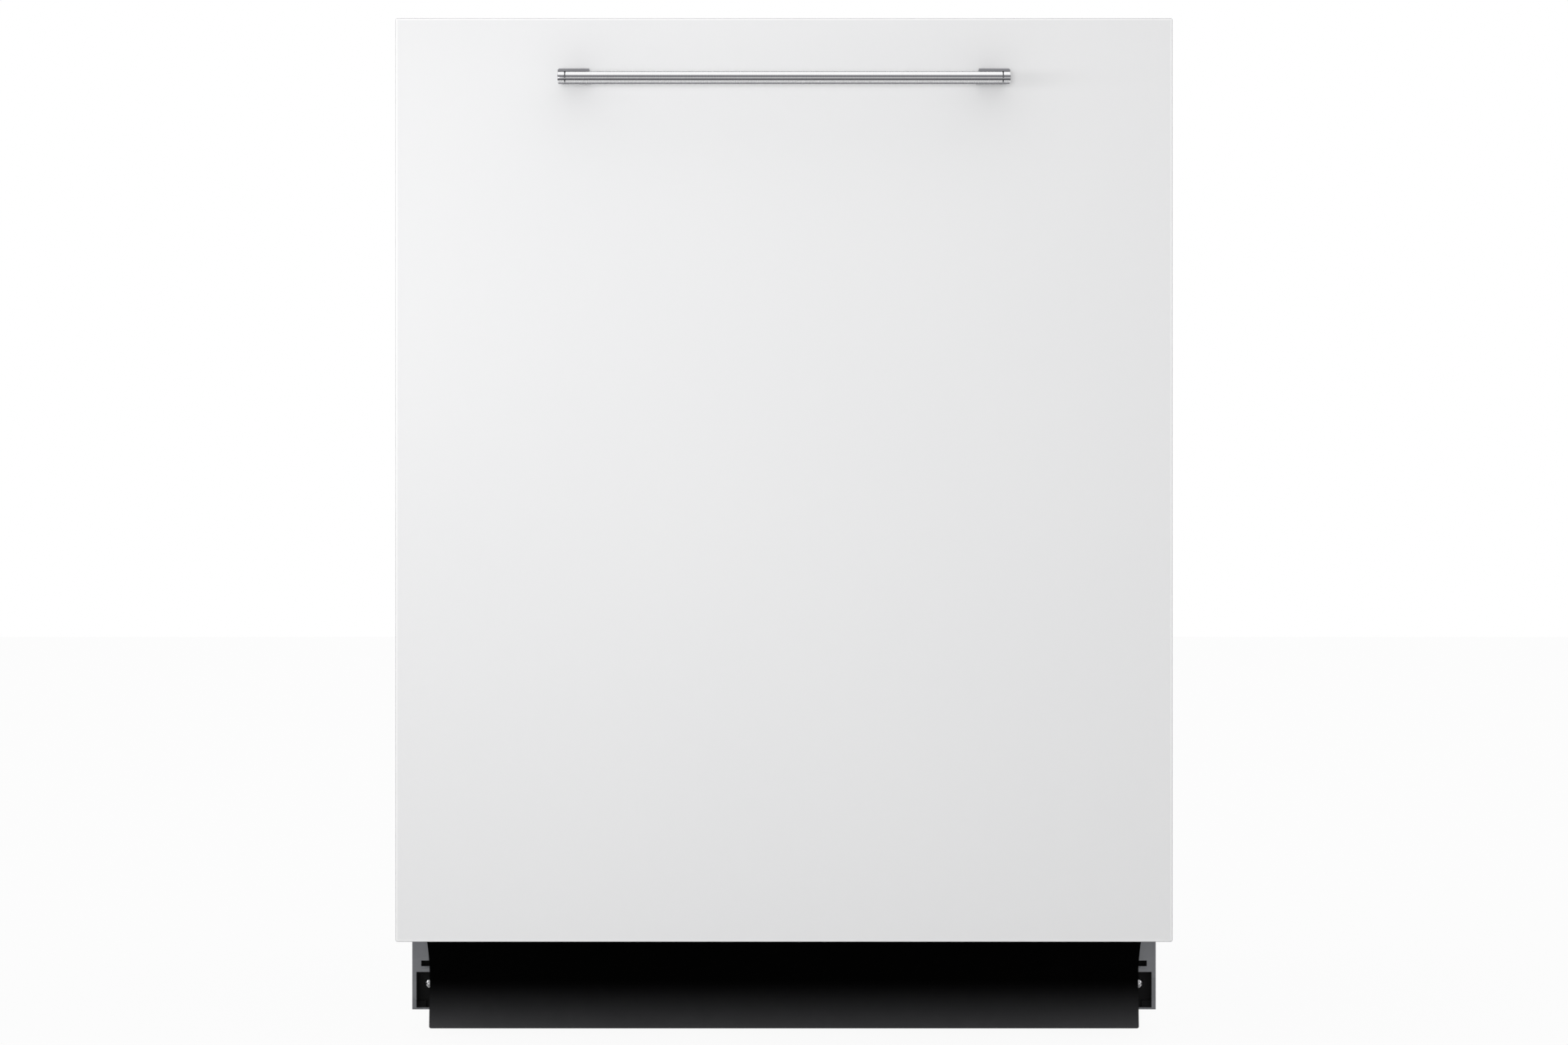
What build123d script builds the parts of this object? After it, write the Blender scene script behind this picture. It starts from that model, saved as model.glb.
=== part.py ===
"""Built-in dishwasher with a furniture door panel and a bar handle, in millimetres.

Frame: +Z up, the door faces -Y, and the origin lies on the floor at the middle of the overall box.
The door is closed and the feet are screwed in.
"""
import os

from build123d import *

# Overall sizes
BODY_W = 598.0  # over the side panels
BODY_H = 815.0  # floor to the top of the casing
BODY_D = 550.0  # outer door face to the back panel
SHEET = 1.2  # casing steel
FIT = 0.3  # gap between pieces that move past each other
PIN_FIT = 0.05  # radial running clearance of a pin
OVER = 1.0  # how far a cut runs past the face it opens

# Furniture panel
PANEL_SIDE = 0.0  # casing's side in to the panel's edge
PANEL_LIFT = 89.0  # floor to the panel's bottom edge
PANEL_T = 20.0
PANEL_DROP = 15.0  # casing top down to the panel's top edge
PANEL_EDGE_R = 1.0

# Bar handle
BAR_D = 9.6
BAR_LEN = 342.4  # over the end caps
BAR_REACH = 32.0  # panel face to bar axis
BAR_DROP = 51.7  # panel's top edge to bar axis
CAP_LEN = 5.2
CAP_GROOVE = 0.7  # shadow gap between cap and bar
CAP_EDGE_R = 1.2
POST_W = 23.7
POST_H = 7.2
POST_RISE = 4.3  # bar axis up to the middle of the post's foot
POST_CHAMFER = 2.2
POST_EDGE_R = 1.2
HANDLE_SCREW_D = 4.0

# Door
DOOR_SIDE = 7.0  # casing's side in to the door's edge
DOOR_CASE_GAP = 4.8  # door's liner back to the casing's front edge
DOOR_T = 50.0
DOOR_SKIN = 0.8
DOOR_TOP_DROP = 5.0  # panel's top edge down to the control strip
HINGE_SETBACK = 60.0  # panel face to hinge axis
HINGE_RISE = 23.0  # panel's bottom edge up to hinge axis
HINGE_PIN_D = 8.0
HINGE_PLATE = 3.0
HINGE_SIDE = 35.8  # side panel in to the inner face of the hinge bracket
DOOR_BOTTOM_RISE = 10.0  # hinge axis up to the door's lower edge
LINER_FIELD_DEPTH = 12.0
LINER_BORDER = 46.0

# Plinth, where the casing steps back
KICK_SETBACK = 90.0  # panel face to kick plate
KICK_T = 1.5
KICK_IN_LOW = 13.7  # casing's side in to the kick plate's lower corner
KICK_IN_WAIST = 14.3
KICK_IN_TOP = 10.4
KICK_BOTTOM = 5.8
KICK_WAIST_Z = 45.0
KICK_TOP = 86.0
KICK_RETURN = 9.0
KICK_CORNER_R = 1.6
CASE_BOTTOM = 20.8
PLINTH_TOP = 138.0  # the casing is set back below this height
PLINTH_FLANGE = 24.0
FRONT_FLANGE = 11.0

# Base tray and feet
TRAY_FLOOR = 4.0
TRAY_WALL = 4.0
TRAY_TOP = 74.0
TRAY_INSET = 8.0  # plinth flange back to the tray's front wall
FOOT_D = 40.0
FOOT_PAD_H = 10.0
FOOT_SHANK_D = 12.0
FOOT_TRAVEL = 45.0
FOOT_BOSS_D = 26.0
FOOT_BOSS_TOP = 70.0
FOOT_SIDE_IN = 52.8  # side panel to foot axis
FOOT_FRONT_IN = 60.0  # tray's front wall to foot axis
FOOT_REAR_IN = 55.0  # back panel to foot axis

# Tub
TUB_SIDE_GAP = 27.0  # casing's side to the tub's inner wall
TUB_T = 1.2
TUB_FLOOR_Z = 150.0
TUB_TOP_GAP = 39.0  # casing top down to the tub's inner roof
TUB_BACK_GAP = 30.0  # back panel to the tub's inner back wall
TUB_CORNER_R = 24.0
RIM_BELOW = 10.0  # tub floor down to the rim's lower edge
SEAL_T = 8.0
SEAL_W = 9.0

# Places worked out from the sizes
HANDLE_FRONT = BAR_REACH + BAR_D / 2
TOTAL_D = HANDLE_FRONT + PANEL_T + BODY_D
Y_BACK = TOTAL_D / 2
Y_PANEL = HANDLE_FRONT - TOTAL_D / 2
Y_DOOR = Y_PANEL + PANEL_T
Y_LINER = Y_DOOR + DOOR_T
Y_CASE = Y_LINER + DOOR_CASE_GAP
Y_RIM = Y_LINER + FIT + SEAL_T
Y_KICK = Y_PANEL + KICK_SETBACK
Y_FLANGE = Y_KICK + KICK_T
Y_TRAY = Y_FLANGE + SHEET + TRAY_INSET
Y_TUB_BACK = Y_BACK - TUB_BACK_GAP
Z_PANEL_TOP = BODY_H - PANEL_DROP
Z_PANEL_BOTTOM = PANEL_LIFT
PANEL_W = BODY_W - 2 * PANEL_SIDE
DOOR_W = BODY_W - 2 * DOOR_SIDE
TUB_W = BODY_W - 2 * TUB_SIDE_GAP
TUB_CEILING_Z = BODY_H - TUB_TOP_GAP
Z_BAR = Z_PANEL_TOP - BAR_DROP
HINGE_Y = Y_PANEL + HINGE_SETBACK
HINGE_Z = Z_PANEL_BOTTOM + HINGE_RISE
Z_DOOR_BOTTOM = HINGE_Z + DOOR_BOTTOM_RISE
Z_DOOR_TOP = Z_PANEL_TOP - DOOR_TOP_DROP
X_SIDE = BODY_W / 2 - SHEET  # inner face of a side panel
X_TUB = TUB_W / 2
HINGE_IN = X_SIDE - HINGE_SIDE
KICK_HALF_LOW = BODY_W / 2 - KICK_IN_LOW
KICK_HALF_WAIST = BODY_W / 2 - KICK_IN_WAIST
KICK_HALF_TOP = BODY_W / 2 - KICK_IN_TOP
FOOT_X = X_SIDE - FOOT_SIDE_IN
Z_RIM_BOTTOM = TUB_FLOOR_Z - RIM_BELOW
SIDES = {"left": -1, "right": 1}

parts = {}


def keep(name, part):
    """Labels a finished piece and puts it on the list to be written."""
    part.label = name
    parts[name] = part


def block(x0, x1, y0, y1, z0, z1, mode=Mode.ADD):
    """A box between two corners, worked into the part being built."""
    with Locations(((x0 + x1) / 2, (y0 + y1) / 2, (z0 + z1) / 2)):
        Box(abs(x1 - x0), abs(y1 - y0), abs(z1 - z0), mode=mode)


def rods_along(axis, length, diameter, middles, mode=Mode.ADD):
    """Round rods along one axis, each given by its middle, worked in together."""
    turns = {"x": (0, 90, 0), "y": (90, 0, 0), "z": (0, 0, 0)}
    with Locations(*middles):
        Cylinder(diameter / 2, length, rotation=turns[axis], mode=mode)


def facing_front(y):
    """A sketch plane at depth y, seen from the front: X to the right, Z up. Minus extrudes go inwards."""
    return Plane.XZ.offset(-y)


def facing_right(x):
    """A sketch plane at width x, with its own X along +Y and its own Y up."""
    return Plane.YZ.offset(x)


def mirrored(part):
    """The same piece on the other side of the machine."""
    return mirror(part, about=Plane.YZ, mode=Mode.PRIVATE)


def press_fields(plane, places, width, height, depth, corner, sheet):
    """Shallow pans pressed into a sheet, each with a floor and side walls of the sheet's thickness."""
    with BuildSketch(plane) as pans:
        with Locations(*places):
            RectangleRounded(width + 2 * sheet, height + 2 * sheet, corner + sheet)
    extrude(pans.sketch, amount=-(depth + sheet))
    with BuildSketch(plane) as hollows:
        with Locations(*places):
            RectangleRounded(width, height, corner)
    extrude(hollows.sketch, amount=-depth, mode=Mode.SUBTRACT)


HEAD_CROWN = 0.55  # share of a screw head's height that is rounded
CROSS_SLOT = 1.25


def pan_screw(head_d, head_h, shank_d, shank_len, cross):
    """A pan-head screw with a cross recess, its head's underside at the origin and its head towards +Z."""
    with BuildPart() as screw:
        with Locations((0, 0, head_h / 2)):
            Cylinder(head_d / 2, head_h)
        fillet(screw.edges().group_by(Axis.Z)[-1], head_h * HEAD_CROWN)
        with Locations((0, 0, -shank_len / 2)):
            Cylinder(shank_d / 2, shank_len)
        with Locations((0, 0, head_h)):
            Box(cross, CROSS_SLOT, head_h, mode=Mode.SUBTRACT)
            Box(CROSS_SLOT, cross, head_h, mode=Mode.SUBTRACT)
    return screw.part


HEAD_FORWARD = (90, 0, 0)  # turns a screw's head towards -Y
HEAD_BACKWARD = (-90, 0, 0)

# Side panels: folded steel sheet, with a recessed plinth and pressed stiffening fields
WINDOW_EDGE = 3.3  # strip left outside the plinth window
WINDOW_LOW = 1.5
WINDOW_TOP_Z = 51.0
SLOT_EDGE = 7.2
SLOT_LOW_Z = 55.6
SLOT_H = 4.6
CUT_INNER = 4.0  # strip left inside the window and the slot
TOP_FLANGE = 14.0
REAR_FLANGE = 14.0
PLINTH_FLANGE_TOP = 92.0
SIDE_MARGIN_Y = 39.0  # side panel's edges to its pressed fields
SIDE_MARGIN_Z = 68.5
FIELD_GAP = 36.0  # between two pressed fields
FIELD_DEPTH = 3.0
FIELD_R = 20.0
X_OUT = BODY_W / 2
Y_SIDE_REAR = Y_BACK - SHEET
SIDE_MID_Y = (Y_CASE + Y_SIDE_REAR) / 2
SIDE_MID_Z = (PLINTH_TOP + BODY_H) / 2
SIDE_FIELD_W = (Y_SIDE_REAR - Y_CASE - FIELD_GAP) / 2 - SIDE_MARGIN_Y
SIDE_FIELD_H = BODY_H - PLINTH_TOP - 2 * SIDE_MARGIN_Z
SIDE_FIELD_STEP = SIDE_FIELD_W + FIELD_GAP

with BuildPart() as side_panel:
    with BuildSketch(facing_right(X_SIDE)):
        with BuildLine():
            Polyline(
                (Y_FLANGE, CASE_BOTTOM),
                (Y_SIDE_REAR, CASE_BOTTOM),
                (Y_SIDE_REAR, BODY_H),
                (Y_CASE, BODY_H),
                (Y_CASE, PLINTH_TOP),
                (Y_FLANGE, PLINTH_TOP),
                close=True,
            )
        make_face()
    extrude(amount=SHEET)
    block(X_OUT - PLINTH_FLANGE, X_OUT, Y_FLANGE, Y_FLANGE + SHEET, CASE_BOTTOM, PLINTH_FLANGE_TOP)
    block(X_OUT - FRONT_FLANGE, X_OUT, Y_CASE, Y_CASE + SHEET, PLINTH_TOP, BODY_H)
    block(X_OUT - TOP_FLANGE, X_OUT, Y_CASE, Y_SIDE_REAR, BODY_H - SHEET, BODY_H)
    block(X_OUT - REAR_FLANGE, X_OUT, Y_SIDE_REAR - SHEET, Y_SIDE_REAR, PLINTH_TOP, BODY_H)
    flange_in = X_OUT - PLINTH_FLANGE + CUT_INNER
    cut_y = (Y_FLANGE - SHEET, Y_FLANGE + 2 * SHEET)
    block(flange_in, X_OUT - WINDOW_EDGE, *cut_y, CASE_BOTTOM + WINDOW_LOW, WINDOW_TOP_Z, Mode.SUBTRACT)
    block(flange_in, X_OUT - SLOT_EDGE, *cut_y, SLOT_LOW_Z, SLOT_LOW_Z + SLOT_H, Mode.SUBTRACT)
    field_places = [(SIDE_MID_Y + k * SIDE_FIELD_STEP / 2, SIDE_MID_Z) for k in (-1, 1)]
    press_fields(facing_right(X_OUT), field_places, SIDE_FIELD_W, SIDE_FIELD_H, FIELD_DEPTH, FIELD_R, SHEET)
keep("side_panel_right", side_panel.part)
keep("side_panel_left", mirrored(side_panel.part))

# Back panel: one pressed sheet laid over the side panels' rear flanges, open below for the connections
BACK_MARGIN_X = 41.0
BACK_MARGIN_Z = 70.5
BACK_FIELD_W = (BODY_W - FIELD_GAP) / 2 - BACK_MARGIN_X
BACK_FIELD_H = (BODY_H - PLINTH_TOP - FIELD_GAP) / 2 - BACK_MARGIN_Z
back_step_x = BACK_FIELD_W + FIELD_GAP
back_step_z = BACK_FIELD_H + FIELD_GAP

with BuildPart() as back_panel:
    block(-X_OUT, X_OUT, Y_SIDE_REAR, Y_BACK, PLINTH_TOP, BODY_H)
    places = [(i * back_step_x / 2, SIDE_MID_Z + k * back_step_z / 2) for i in (-1, 1) for k in (-1, 1)]
    press_fields(Plane.back.offset(Y_BACK), places, BACK_FIELD_W, BACK_FIELD_H, FIELD_DEPTH, FIELD_R, SHEET)
keep("back_panel", back_panel.part)

# Top braces: folded strips that tie the side panels together; the front one takes the worktop screws
BRACE_W = 40.0
BRACE_DROP = 12.0
WORKTOP_HOLE_D = 4.5
WORKTOP_HOLE_IN = 35.8  # side panel to a worktop screw
brace_top = BODY_H - SHEET
brace_fronts = {"front": Y_RIM + TUB_T + FIT, "rear": Y_SIDE_REAR - SHEET - FIT - BRACE_W}

for where, brace_y in brace_fronts.items():
    with BuildPart() as brace:
        block(-X_SIDE, X_SIDE, brace_y, brace_y + BRACE_W, brace_top - SHEET, brace_top)
        for lip_y in (brace_y, brace_y + BRACE_W - SHEET):
            block(-X_SIDE, X_SIDE, lip_y, lip_y + SHEET, brace_top - BRACE_DROP, brace_top)
        if where == "front":
            hole_x = X_SIDE - WORKTOP_HOLE_IN
            hole_places = [(side * hole_x, brace_y + BRACE_W / 2, brace_top) for side in (-1, 1)]
            rods_along("z", 3 * SHEET, WORKTOP_HOLE_D, hole_places, Mode.SUBTRACT)
    keep(f"top_brace_{where}", brace.part)

# Door springs' places, which the tray's anchors and the hinge arms share
SPRING_OUT = 11.0  # hinge bracket's inner face out to the spring's axis
SPRING_X = HINGE_IN + SPRING_OUT
PEG_BACK = 18.0  # hinge axis back to the spring peg
PEG_DROP = 4.0
PEG_D = 5.0
SPRING_EYE_T = 3.0
SPRING_D = 11.0
SPRING_EYE_D = 10.6
SPRING_Z = HINGE_Z - PEG_DROP
ANCHOR_IN = 145.9  # tray's front wall back to the spring's anchor
ANCHOR_Y = Y_TRAY + ANCHOR_IN
ANCHOR_PIN_D = 5.0
ANCHOR_PIN_LEN = 7.0
ANCHOR_GAP = 6.0
ANCHOR_W = 14.0

# Base tray: moulded pan that catches leaks, carries the feet and holds the tub up on four posts
POST_SIZE = 26.0
POST_SIDE_IN = 62.8  # side panel to the middle of a post
POST_X = X_SIDE - POST_SIDE_IN
POST_IN = 22.0  # tray wall to the middle of a post
TRAY_STEP_W = 9.0
TRAY_STEP_H = 6.0
TRAY_STEP_OUT = 2.0
TRAY_SCREW_IN = 13.0  # casing's side to a tray screw
TRAY_SCREW_X = X_OUT - TRAY_SCREW_IN
TRAY_SCREW_Z = 40.5
Y_TRAY_BACK = Y_SIDE_REAR - SHEET
TUB_UNDER_Z = TUB_FLOOR_Z - TUB_T
FOOT_Y = {"front": Y_TRAY + FOOT_FRONT_IN, "rear": Y_BACK - FOOT_REAR_IN}
foot_places = {
    f"foot_{end}_{side}": (sign * FOOT_X, FOOT_Y[end])
    for end in FOOT_Y
    for side, sign in SIDES.items()
}
post_ys = (Y_TRAY + TRAY_WALL + POST_IN, Y_TRAY_BACK - TRAY_WALL - POST_IN)
SCREW_HEAD_D = 8.6
SCREW_HEAD_H = 3.2
SCREW_D = 4.2
SCREW_LEN = 9.0
SCREW_CROSS = 5.0

with BuildPart() as base_tray:
    block(-X_SIDE, X_SIDE, Y_TRAY, Y_TRAY_BACK, CASE_BOTTOM, TRAY_TOP)
    block(
        TRAY_WALL - X_SIDE,
        X_SIDE - TRAY_WALL,
        Y_TRAY + TRAY_WALL,
        Y_TRAY_BACK - TRAY_WALL,
        CASE_BOTTOM + TRAY_FLOOR,
        TRAY_TOP + TRAY_FLOOR,
        Mode.SUBTRACT,
    )
    for place in foot_places.values():
        with Locations((*place, (CASE_BOTTOM + FOOT_BOSS_TOP) / 2)):
            Cylinder(FOOT_BOSS_D / 2, FOOT_BOSS_TOP - CASE_BOTTOM)
    for x in (-POST_X, POST_X):
        for y in post_ys:
            with Locations((x, y, (CASE_BOTTOM + TUB_UNDER_Z) / 2)):
                Box(POST_SIZE, POST_SIZE, TUB_UNDER_Z - CASE_BOTTOM)
    for place in foot_places.values():
        with Locations((*place, FOOT_BOSS_TOP / 2)):
            Cylinder(FOOT_SHANK_D / 2 + FIT, 2 * FOOT_BOSS_TOP, mode=Mode.SUBTRACT)
    for sign in SIDES.values():
        step_in = sign * (X_SIDE - TRAY_STEP_W)
        step_z = (CASE_BOTTOM, CASE_BOTTOM + TRAY_STEP_H)
        block(step_in, sign * X_SIDE, Y_TRAY - TRAY_STEP_OUT, Y_TRAY, *step_z)
    for sign in SIDES.values():
        anchor_x = (sign * (SPRING_X - ANCHOR_W / 2), sign * (SPRING_X + ANCHOR_W / 2))
        anchor_front = ANCHOR_Y + ANCHOR_PIN_D / 2 + ANCHOR_GAP
        anchor_y = (anchor_front, anchor_front + ANCHOR_W)
        block(*anchor_x, *anchor_y, CASE_BOTTOM, SPRING_Z + ANCHOR_W)
        wing_x = (sign * (SPRING_X + SPRING_EYE_T), sign * (SPRING_X + ANCHOR_W / 2))
        block(*wing_x, ANCHOR_Y - ANCHOR_PIN_D, anchor_y[1], SPRING_Z - ANCHOR_W, SPRING_Z + ANCHOR_W)
        pin_mid = (sign * (SPRING_X + SPRING_EYE_T - ANCHOR_PIN_LEN / 2), ANCHOR_Y, SPRING_Z)
        rods_along("x", ANCHOR_PIN_LEN, ANCHOR_PIN_D, [pin_mid])
    screw_places = [(sign * TRAY_SCREW_X, Y_TRAY, TRAY_SCREW_Z) for sign in SIDES.values()]
    screw_holes = [(x, y + SCREW_LEN / 2, z) for x, y, z in screw_places]
    rods_along("y", SCREW_LEN + TRAY_WALL, SCREW_D, screw_holes, Mode.SUBTRACT)
keep("base_tray", base_tray.part)

tray_screw = pan_screw(SCREW_HEAD_D, SCREW_HEAD_H, SCREW_D, SCREW_LEN, SCREW_CROSS)
with BuildPart() as tray_screws:
    with Locations(*[Location(place, HEAD_FORWARD) for place in screw_places]):
        add(tray_screw)
keep("tray_screws", tray_screws.part)

# Levelling feet: a round pad on a threaded shank that turns in the tray's bosses
FOOT_SHANK_SPARE = 1.0  # shank left above the boss at full travel
FOOT_SHANK_TOP = FOOT_BOSS_TOP + FOOT_TRAVEL + FOOT_SHANK_SPARE
FOOT_PAD_R = 2.5
FOOT_SHANK_EDGE = 1.0

for name, place in foot_places.items():
    with BuildPart() as foot:
        with Locations((*place, FOOT_PAD_H / 2)):
            Cylinder(FOOT_D / 2, FOOT_PAD_H)
        fillet(foot.edges().group_by(Axis.Z)[-1], FOOT_PAD_R)
        with Locations((*place, (FOOT_PAD_H + FOOT_SHANK_TOP) / 2)):
            Cylinder(FOOT_SHANK_D / 2, FOOT_SHANK_TOP - FOOT_PAD_H)
        chamfer(foot.edges().group_by(Axis.Z)[-1], FOOT_SHANK_EDGE)
    keep(name, foot.part)

# Kick plate: black sheet whose sides flare towards the top, folded back along its upper edge
with BuildPart() as kick_plate:
    with BuildSketch(facing_front(Y_KICK)):
        with BuildLine():
            Line((-KICK_HALF_LOW, KICK_BOTTOM), (KICK_HALF_LOW, KICK_BOTTOM))
            Line((KICK_HALF_LOW, KICK_BOTTOM), (KICK_HALF_WAIST, KICK_WAIST_Z))
            TangentArc((KICK_HALF_WAIST, KICK_WAIST_Z), (KICK_HALF_TOP, KICK_TOP), tangent=(0, 1))
            Line((KICK_HALF_TOP, KICK_TOP), (-KICK_HALF_TOP, KICK_TOP))
            TangentArc((-KICK_HALF_WAIST, KICK_WAIST_Z), (-KICK_HALF_TOP, KICK_TOP), tangent=(0, 1))
            Line((-KICK_HALF_WAIST, KICK_WAIST_Z), (-KICK_HALF_LOW, KICK_BOTTOM))
        make_face()
    extrude(amount=-KICK_T)
    fillet(kick_plate.edges().filter_by(Axis.Y).group_by(Axis.Z)[0], KICK_CORNER_R)
    kick_return_x = X_OUT - PLINTH_FLANGE - FIT
    block(-kick_return_x, kick_return_x, Y_KICK, Y_KICK + KICK_RETURN, KICK_TOP - KICK_T, KICK_TOP)
keep("kick_plate", kick_plate.part)

# Sump, float and spray arm places on the tub's floor
SUMP_X = 105.0
SUMP_FORWARD = 77.55  # spray arms' axis forward to the sump
SUMP_HOLE_D = 136.0
SUMP_CUP_D = 150.0
ARM_Y = (Y_RIM + Y_TUB_BACK) / 2
SUMP_Y = ARM_Y - SUMP_FORWARD
HUB_D = 30.0
HUB_H = 26.0  # hub above the tub's floor
HUB_TOP = TUB_FLOOR_Z + HUB_H
FLOAT_SIDE_IN = 92.0  # tub's wall to the float
FLOAT_FRONT_IN = 50.3  # tub's mouth to the float
FLOAT_X = FLOAT_SIDE_IN - X_TUB
FLOAT_Y = Y_RIM + FLOAT_FRONT_IN
FLOAT_STEM_D = 8.0
TUB_H = TUB_CEILING_Z - TUB_FLOOR_Z
TUB_MID_Z = (TUB_CEILING_Z + TUB_FLOOR_Z) / 2
TUB_DEPTH = Y_TUB_BACK - Y_RIM
RIM_TOP = BODY_H - SHEET

TUB_BACK_R = 15.0

# The space inside the tub, rounded where the shell is drawn
with BuildPart() as tub_space:
    with BuildSketch(facing_front(Y_RIM)):
        with Locations((0, TUB_MID_Z)):
            RectangleRounded(TUB_W, TUB_H, TUB_CORNER_R)
    extrude(amount=-TUB_DEPTH)
    fillet(tub_space.edges().group_by(Axis.Y)[-1], TUB_BACK_R)

# Tub: one drawn stainless shell with a flat rim round its mouth
with BuildPart() as tub:
    with BuildSketch(facing_front(Y_RIM)):
        with Locations((0, TUB_MID_Z)):
            RectangleRounded(TUB_W + 2 * TUB_T, TUB_H + 2 * TUB_T, TUB_CORNER_R + TUB_T)
    extrude(amount=-(TUB_DEPTH + TUB_T))
    fillet(tub.edges().group_by(Axis.Y)[-1], TUB_BACK_R + TUB_T)
    with BuildSketch(facing_front(Y_RIM)):
        with Locations((0, (Z_RIM_BOTTOM + RIM_TOP) / 2)):
            Rectangle(2 * X_SIDE, RIM_TOP - Z_RIM_BOTTOM)
    extrude(amount=-TUB_T)
    add(tub_space.part, mode=Mode.SUBTRACT)
    floor_z = TUB_FLOOR_Z - TUB_T / 2
    rods_along("z", 3 * TUB_T, SUMP_HOLE_D, [(SUMP_X, SUMP_Y, floor_z)], Mode.SUBTRACT)
    rods_along("z", 3 * TUB_T, HUB_D, [(0, ARM_Y, floor_z)], Mode.SUBTRACT)
    rods_along("z", 3 * TUB_T, FLOAT_STEM_D + 4 * FIT, [(FLOAT_X, FLOAT_Y, floor_z)], Mode.SUBTRACT)
keep("tub", tub.part)

# Door seal: a rubber ring round the tub's mouth, crowned towards the door
SEAL_IN = 1.0  # tub's mouth out to the seal
SEAL_CROWN_R = 3.6
with BuildPart() as tub_gasket:
    with BuildSketch(facing_front(Y_RIM)):
        with Locations((0, TUB_MID_Z)):
            seal_in_w, seal_in_h = TUB_W + 2 * SEAL_IN, TUB_H + 2 * SEAL_IN
            seal_r = TUB_CORNER_R + SEAL_IN
            RectangleRounded(seal_in_w + 2 * SEAL_W, seal_in_h + 2 * SEAL_W, seal_r + SEAL_W)
            RectangleRounded(seal_in_w, seal_in_h, seal_r, mode=Mode.SUBTRACT)
    extrude(amount=SEAL_T)
    fillet(tub_gasket.edges().group_by(Axis.Y)[0], SEAL_CROWN_R)
keep("tub_gasket", tub_gasket.part)

# Bitumen mat stuck on the tub's roof
MAT_T = 2.5
MAT_IN = 26.0
with BuildPart() as sound_mat:
    mat_z = TUB_CEILING_Z + TUB_T
    block(MAT_IN - X_TUB, X_TUB - MAT_IN, Y_RIM + MAT_IN, Y_TUB_BACK - MAT_IN, mat_z, mat_z + MAT_T)
    fillet(sound_mat.edges().filter_by(Axis.Z), MAT_IN / 2)
keep("sound_mat", sound_mat.part)

# Sump: a moulded cup hung under the tub's floor
SUMP_DEPTH = 66.0  # tub's floor down to the sump's underside
SUMP_BOTTOM = TUB_FLOOR_Z - SUMP_DEPTH
SUMP_WALL = 3.0
with BuildPart() as sump:
    with Locations((SUMP_X, SUMP_Y, (SUMP_BOTTOM + TUB_UNDER_Z) / 2)):
        Cylinder(SUMP_CUP_D / 2, TUB_UNDER_Z - SUMP_BOTTOM)
    fillet(sump.edges().group_by(Axis.Z)[0], SUMP_WALL)
    with Locations((SUMP_X, SUMP_Y, (SUMP_BOTTOM + SUMP_WALL + TUB_UNDER_Z) / 2)):
        Cylinder(SUMP_CUP_D / 2 - SUMP_WALL, TUB_UNDER_Z - SUMP_BOTTOM - SUMP_WALL, mode=Mode.SUBTRACT)
keep("sump", sump.part)

# Flat filter over the sump, and the cartridge that twists out of it
FILTER_PLATE_T = 1.5
FILTER_D = 80.0
FILTER_RIM_D = 90.0
FILTER_RIM_T = 2.0
FILTER_LIFT = 8.0  # sump's underside up to the cartridge
FILTER_BOTTOM = SUMP_BOTTOM + FILTER_LIFT
FILTER_GRIP_W = 9.0
FILTER_GRIP_H = 9.0
FILTER_WALL = 2.0
FILTER_GRIP_R = 2.0
plate_top = TUB_FLOOR_Z + FILTER_PLATE_T
rim_top = plate_top + FIT + FILTER_RIM_T
with BuildPart() as filter_plate:
    with Locations((SUMP_X, SUMP_Y, TUB_FLOOR_Z + FILTER_PLATE_T / 2)):
        Cylinder(SUMP_CUP_D / 2, FILTER_PLATE_T)
        Cylinder(FILTER_D / 2 + FIT, FILTER_PLATE_T, mode=Mode.SUBTRACT)
keep("filter_plate", filter_plate.part)

with BuildPart() as filter_cartridge:
    with Locations((SUMP_X, SUMP_Y, (FILTER_BOTTOM + rim_top) / 2)):
        Cylinder(FILTER_D / 2, rim_top - FILTER_BOTTOM)
    with Locations((SUMP_X, SUMP_Y, rim_top - FILTER_RIM_T / 2)):
        Cylinder(FILTER_RIM_D / 2, FILTER_RIM_T)
    with Locations((SUMP_X, SUMP_Y, (FILTER_BOTTOM + rim_top) / 2 - FILTER_RIM_T)):
        Cylinder(FILTER_D / 2 - FILTER_WALL, rim_top - FILTER_BOTTOM, mode=Mode.SUBTRACT)
    grip_half = FILTER_D / 2 - FILTER_WALL
    block(
        SUMP_X - grip_half,
        SUMP_X + grip_half,
        SUMP_Y - FILTER_GRIP_W / 2,
        SUMP_Y + FILTER_GRIP_W / 2,
        rim_top - FILTER_RIM_T,
        rim_top + FILTER_GRIP_H,
    )
    fillet(filter_cartridge.edges().group_by(Axis.Z)[-1], FILTER_GRIP_R)
keep("filter_cartridge", filter_cartridge.part)

# Overfill float: a dome on a stem that slides in the tub's floor
FLOAT_D = 40.0
FLOAT_H = 24.0
FLOAT_DOME_R = 8.0
FLOAT_TRAVEL = 12.0
FLOAT_STEM_SPARE = 20.8  # stem left under the floor at full travel
FLOAT_STEM_LOW = TUB_UNDER_Z - FLOAT_TRAVEL - FLOAT_STEM_SPARE
with BuildPart() as float_dome:
    with Locations((FLOAT_X, FLOAT_Y, TUB_FLOOR_Z + FIT + FLOAT_H / 2)):
        Cylinder(FLOAT_D / 2, FLOAT_H)
    fillet(float_dome.edges().group_by(Axis.Z)[-1], FLOAT_DOME_R)
    with Locations((FLOAT_X, FLOAT_Y, (FLOAT_STEM_LOW + TUB_FLOOR_Z) / 2)):
        Cylinder(FLOAT_STEM_D / 2, TUB_FLOOR_Z + OVER - FLOAT_STEM_LOW)
keep("float_dome", float_dome.part)

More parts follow.
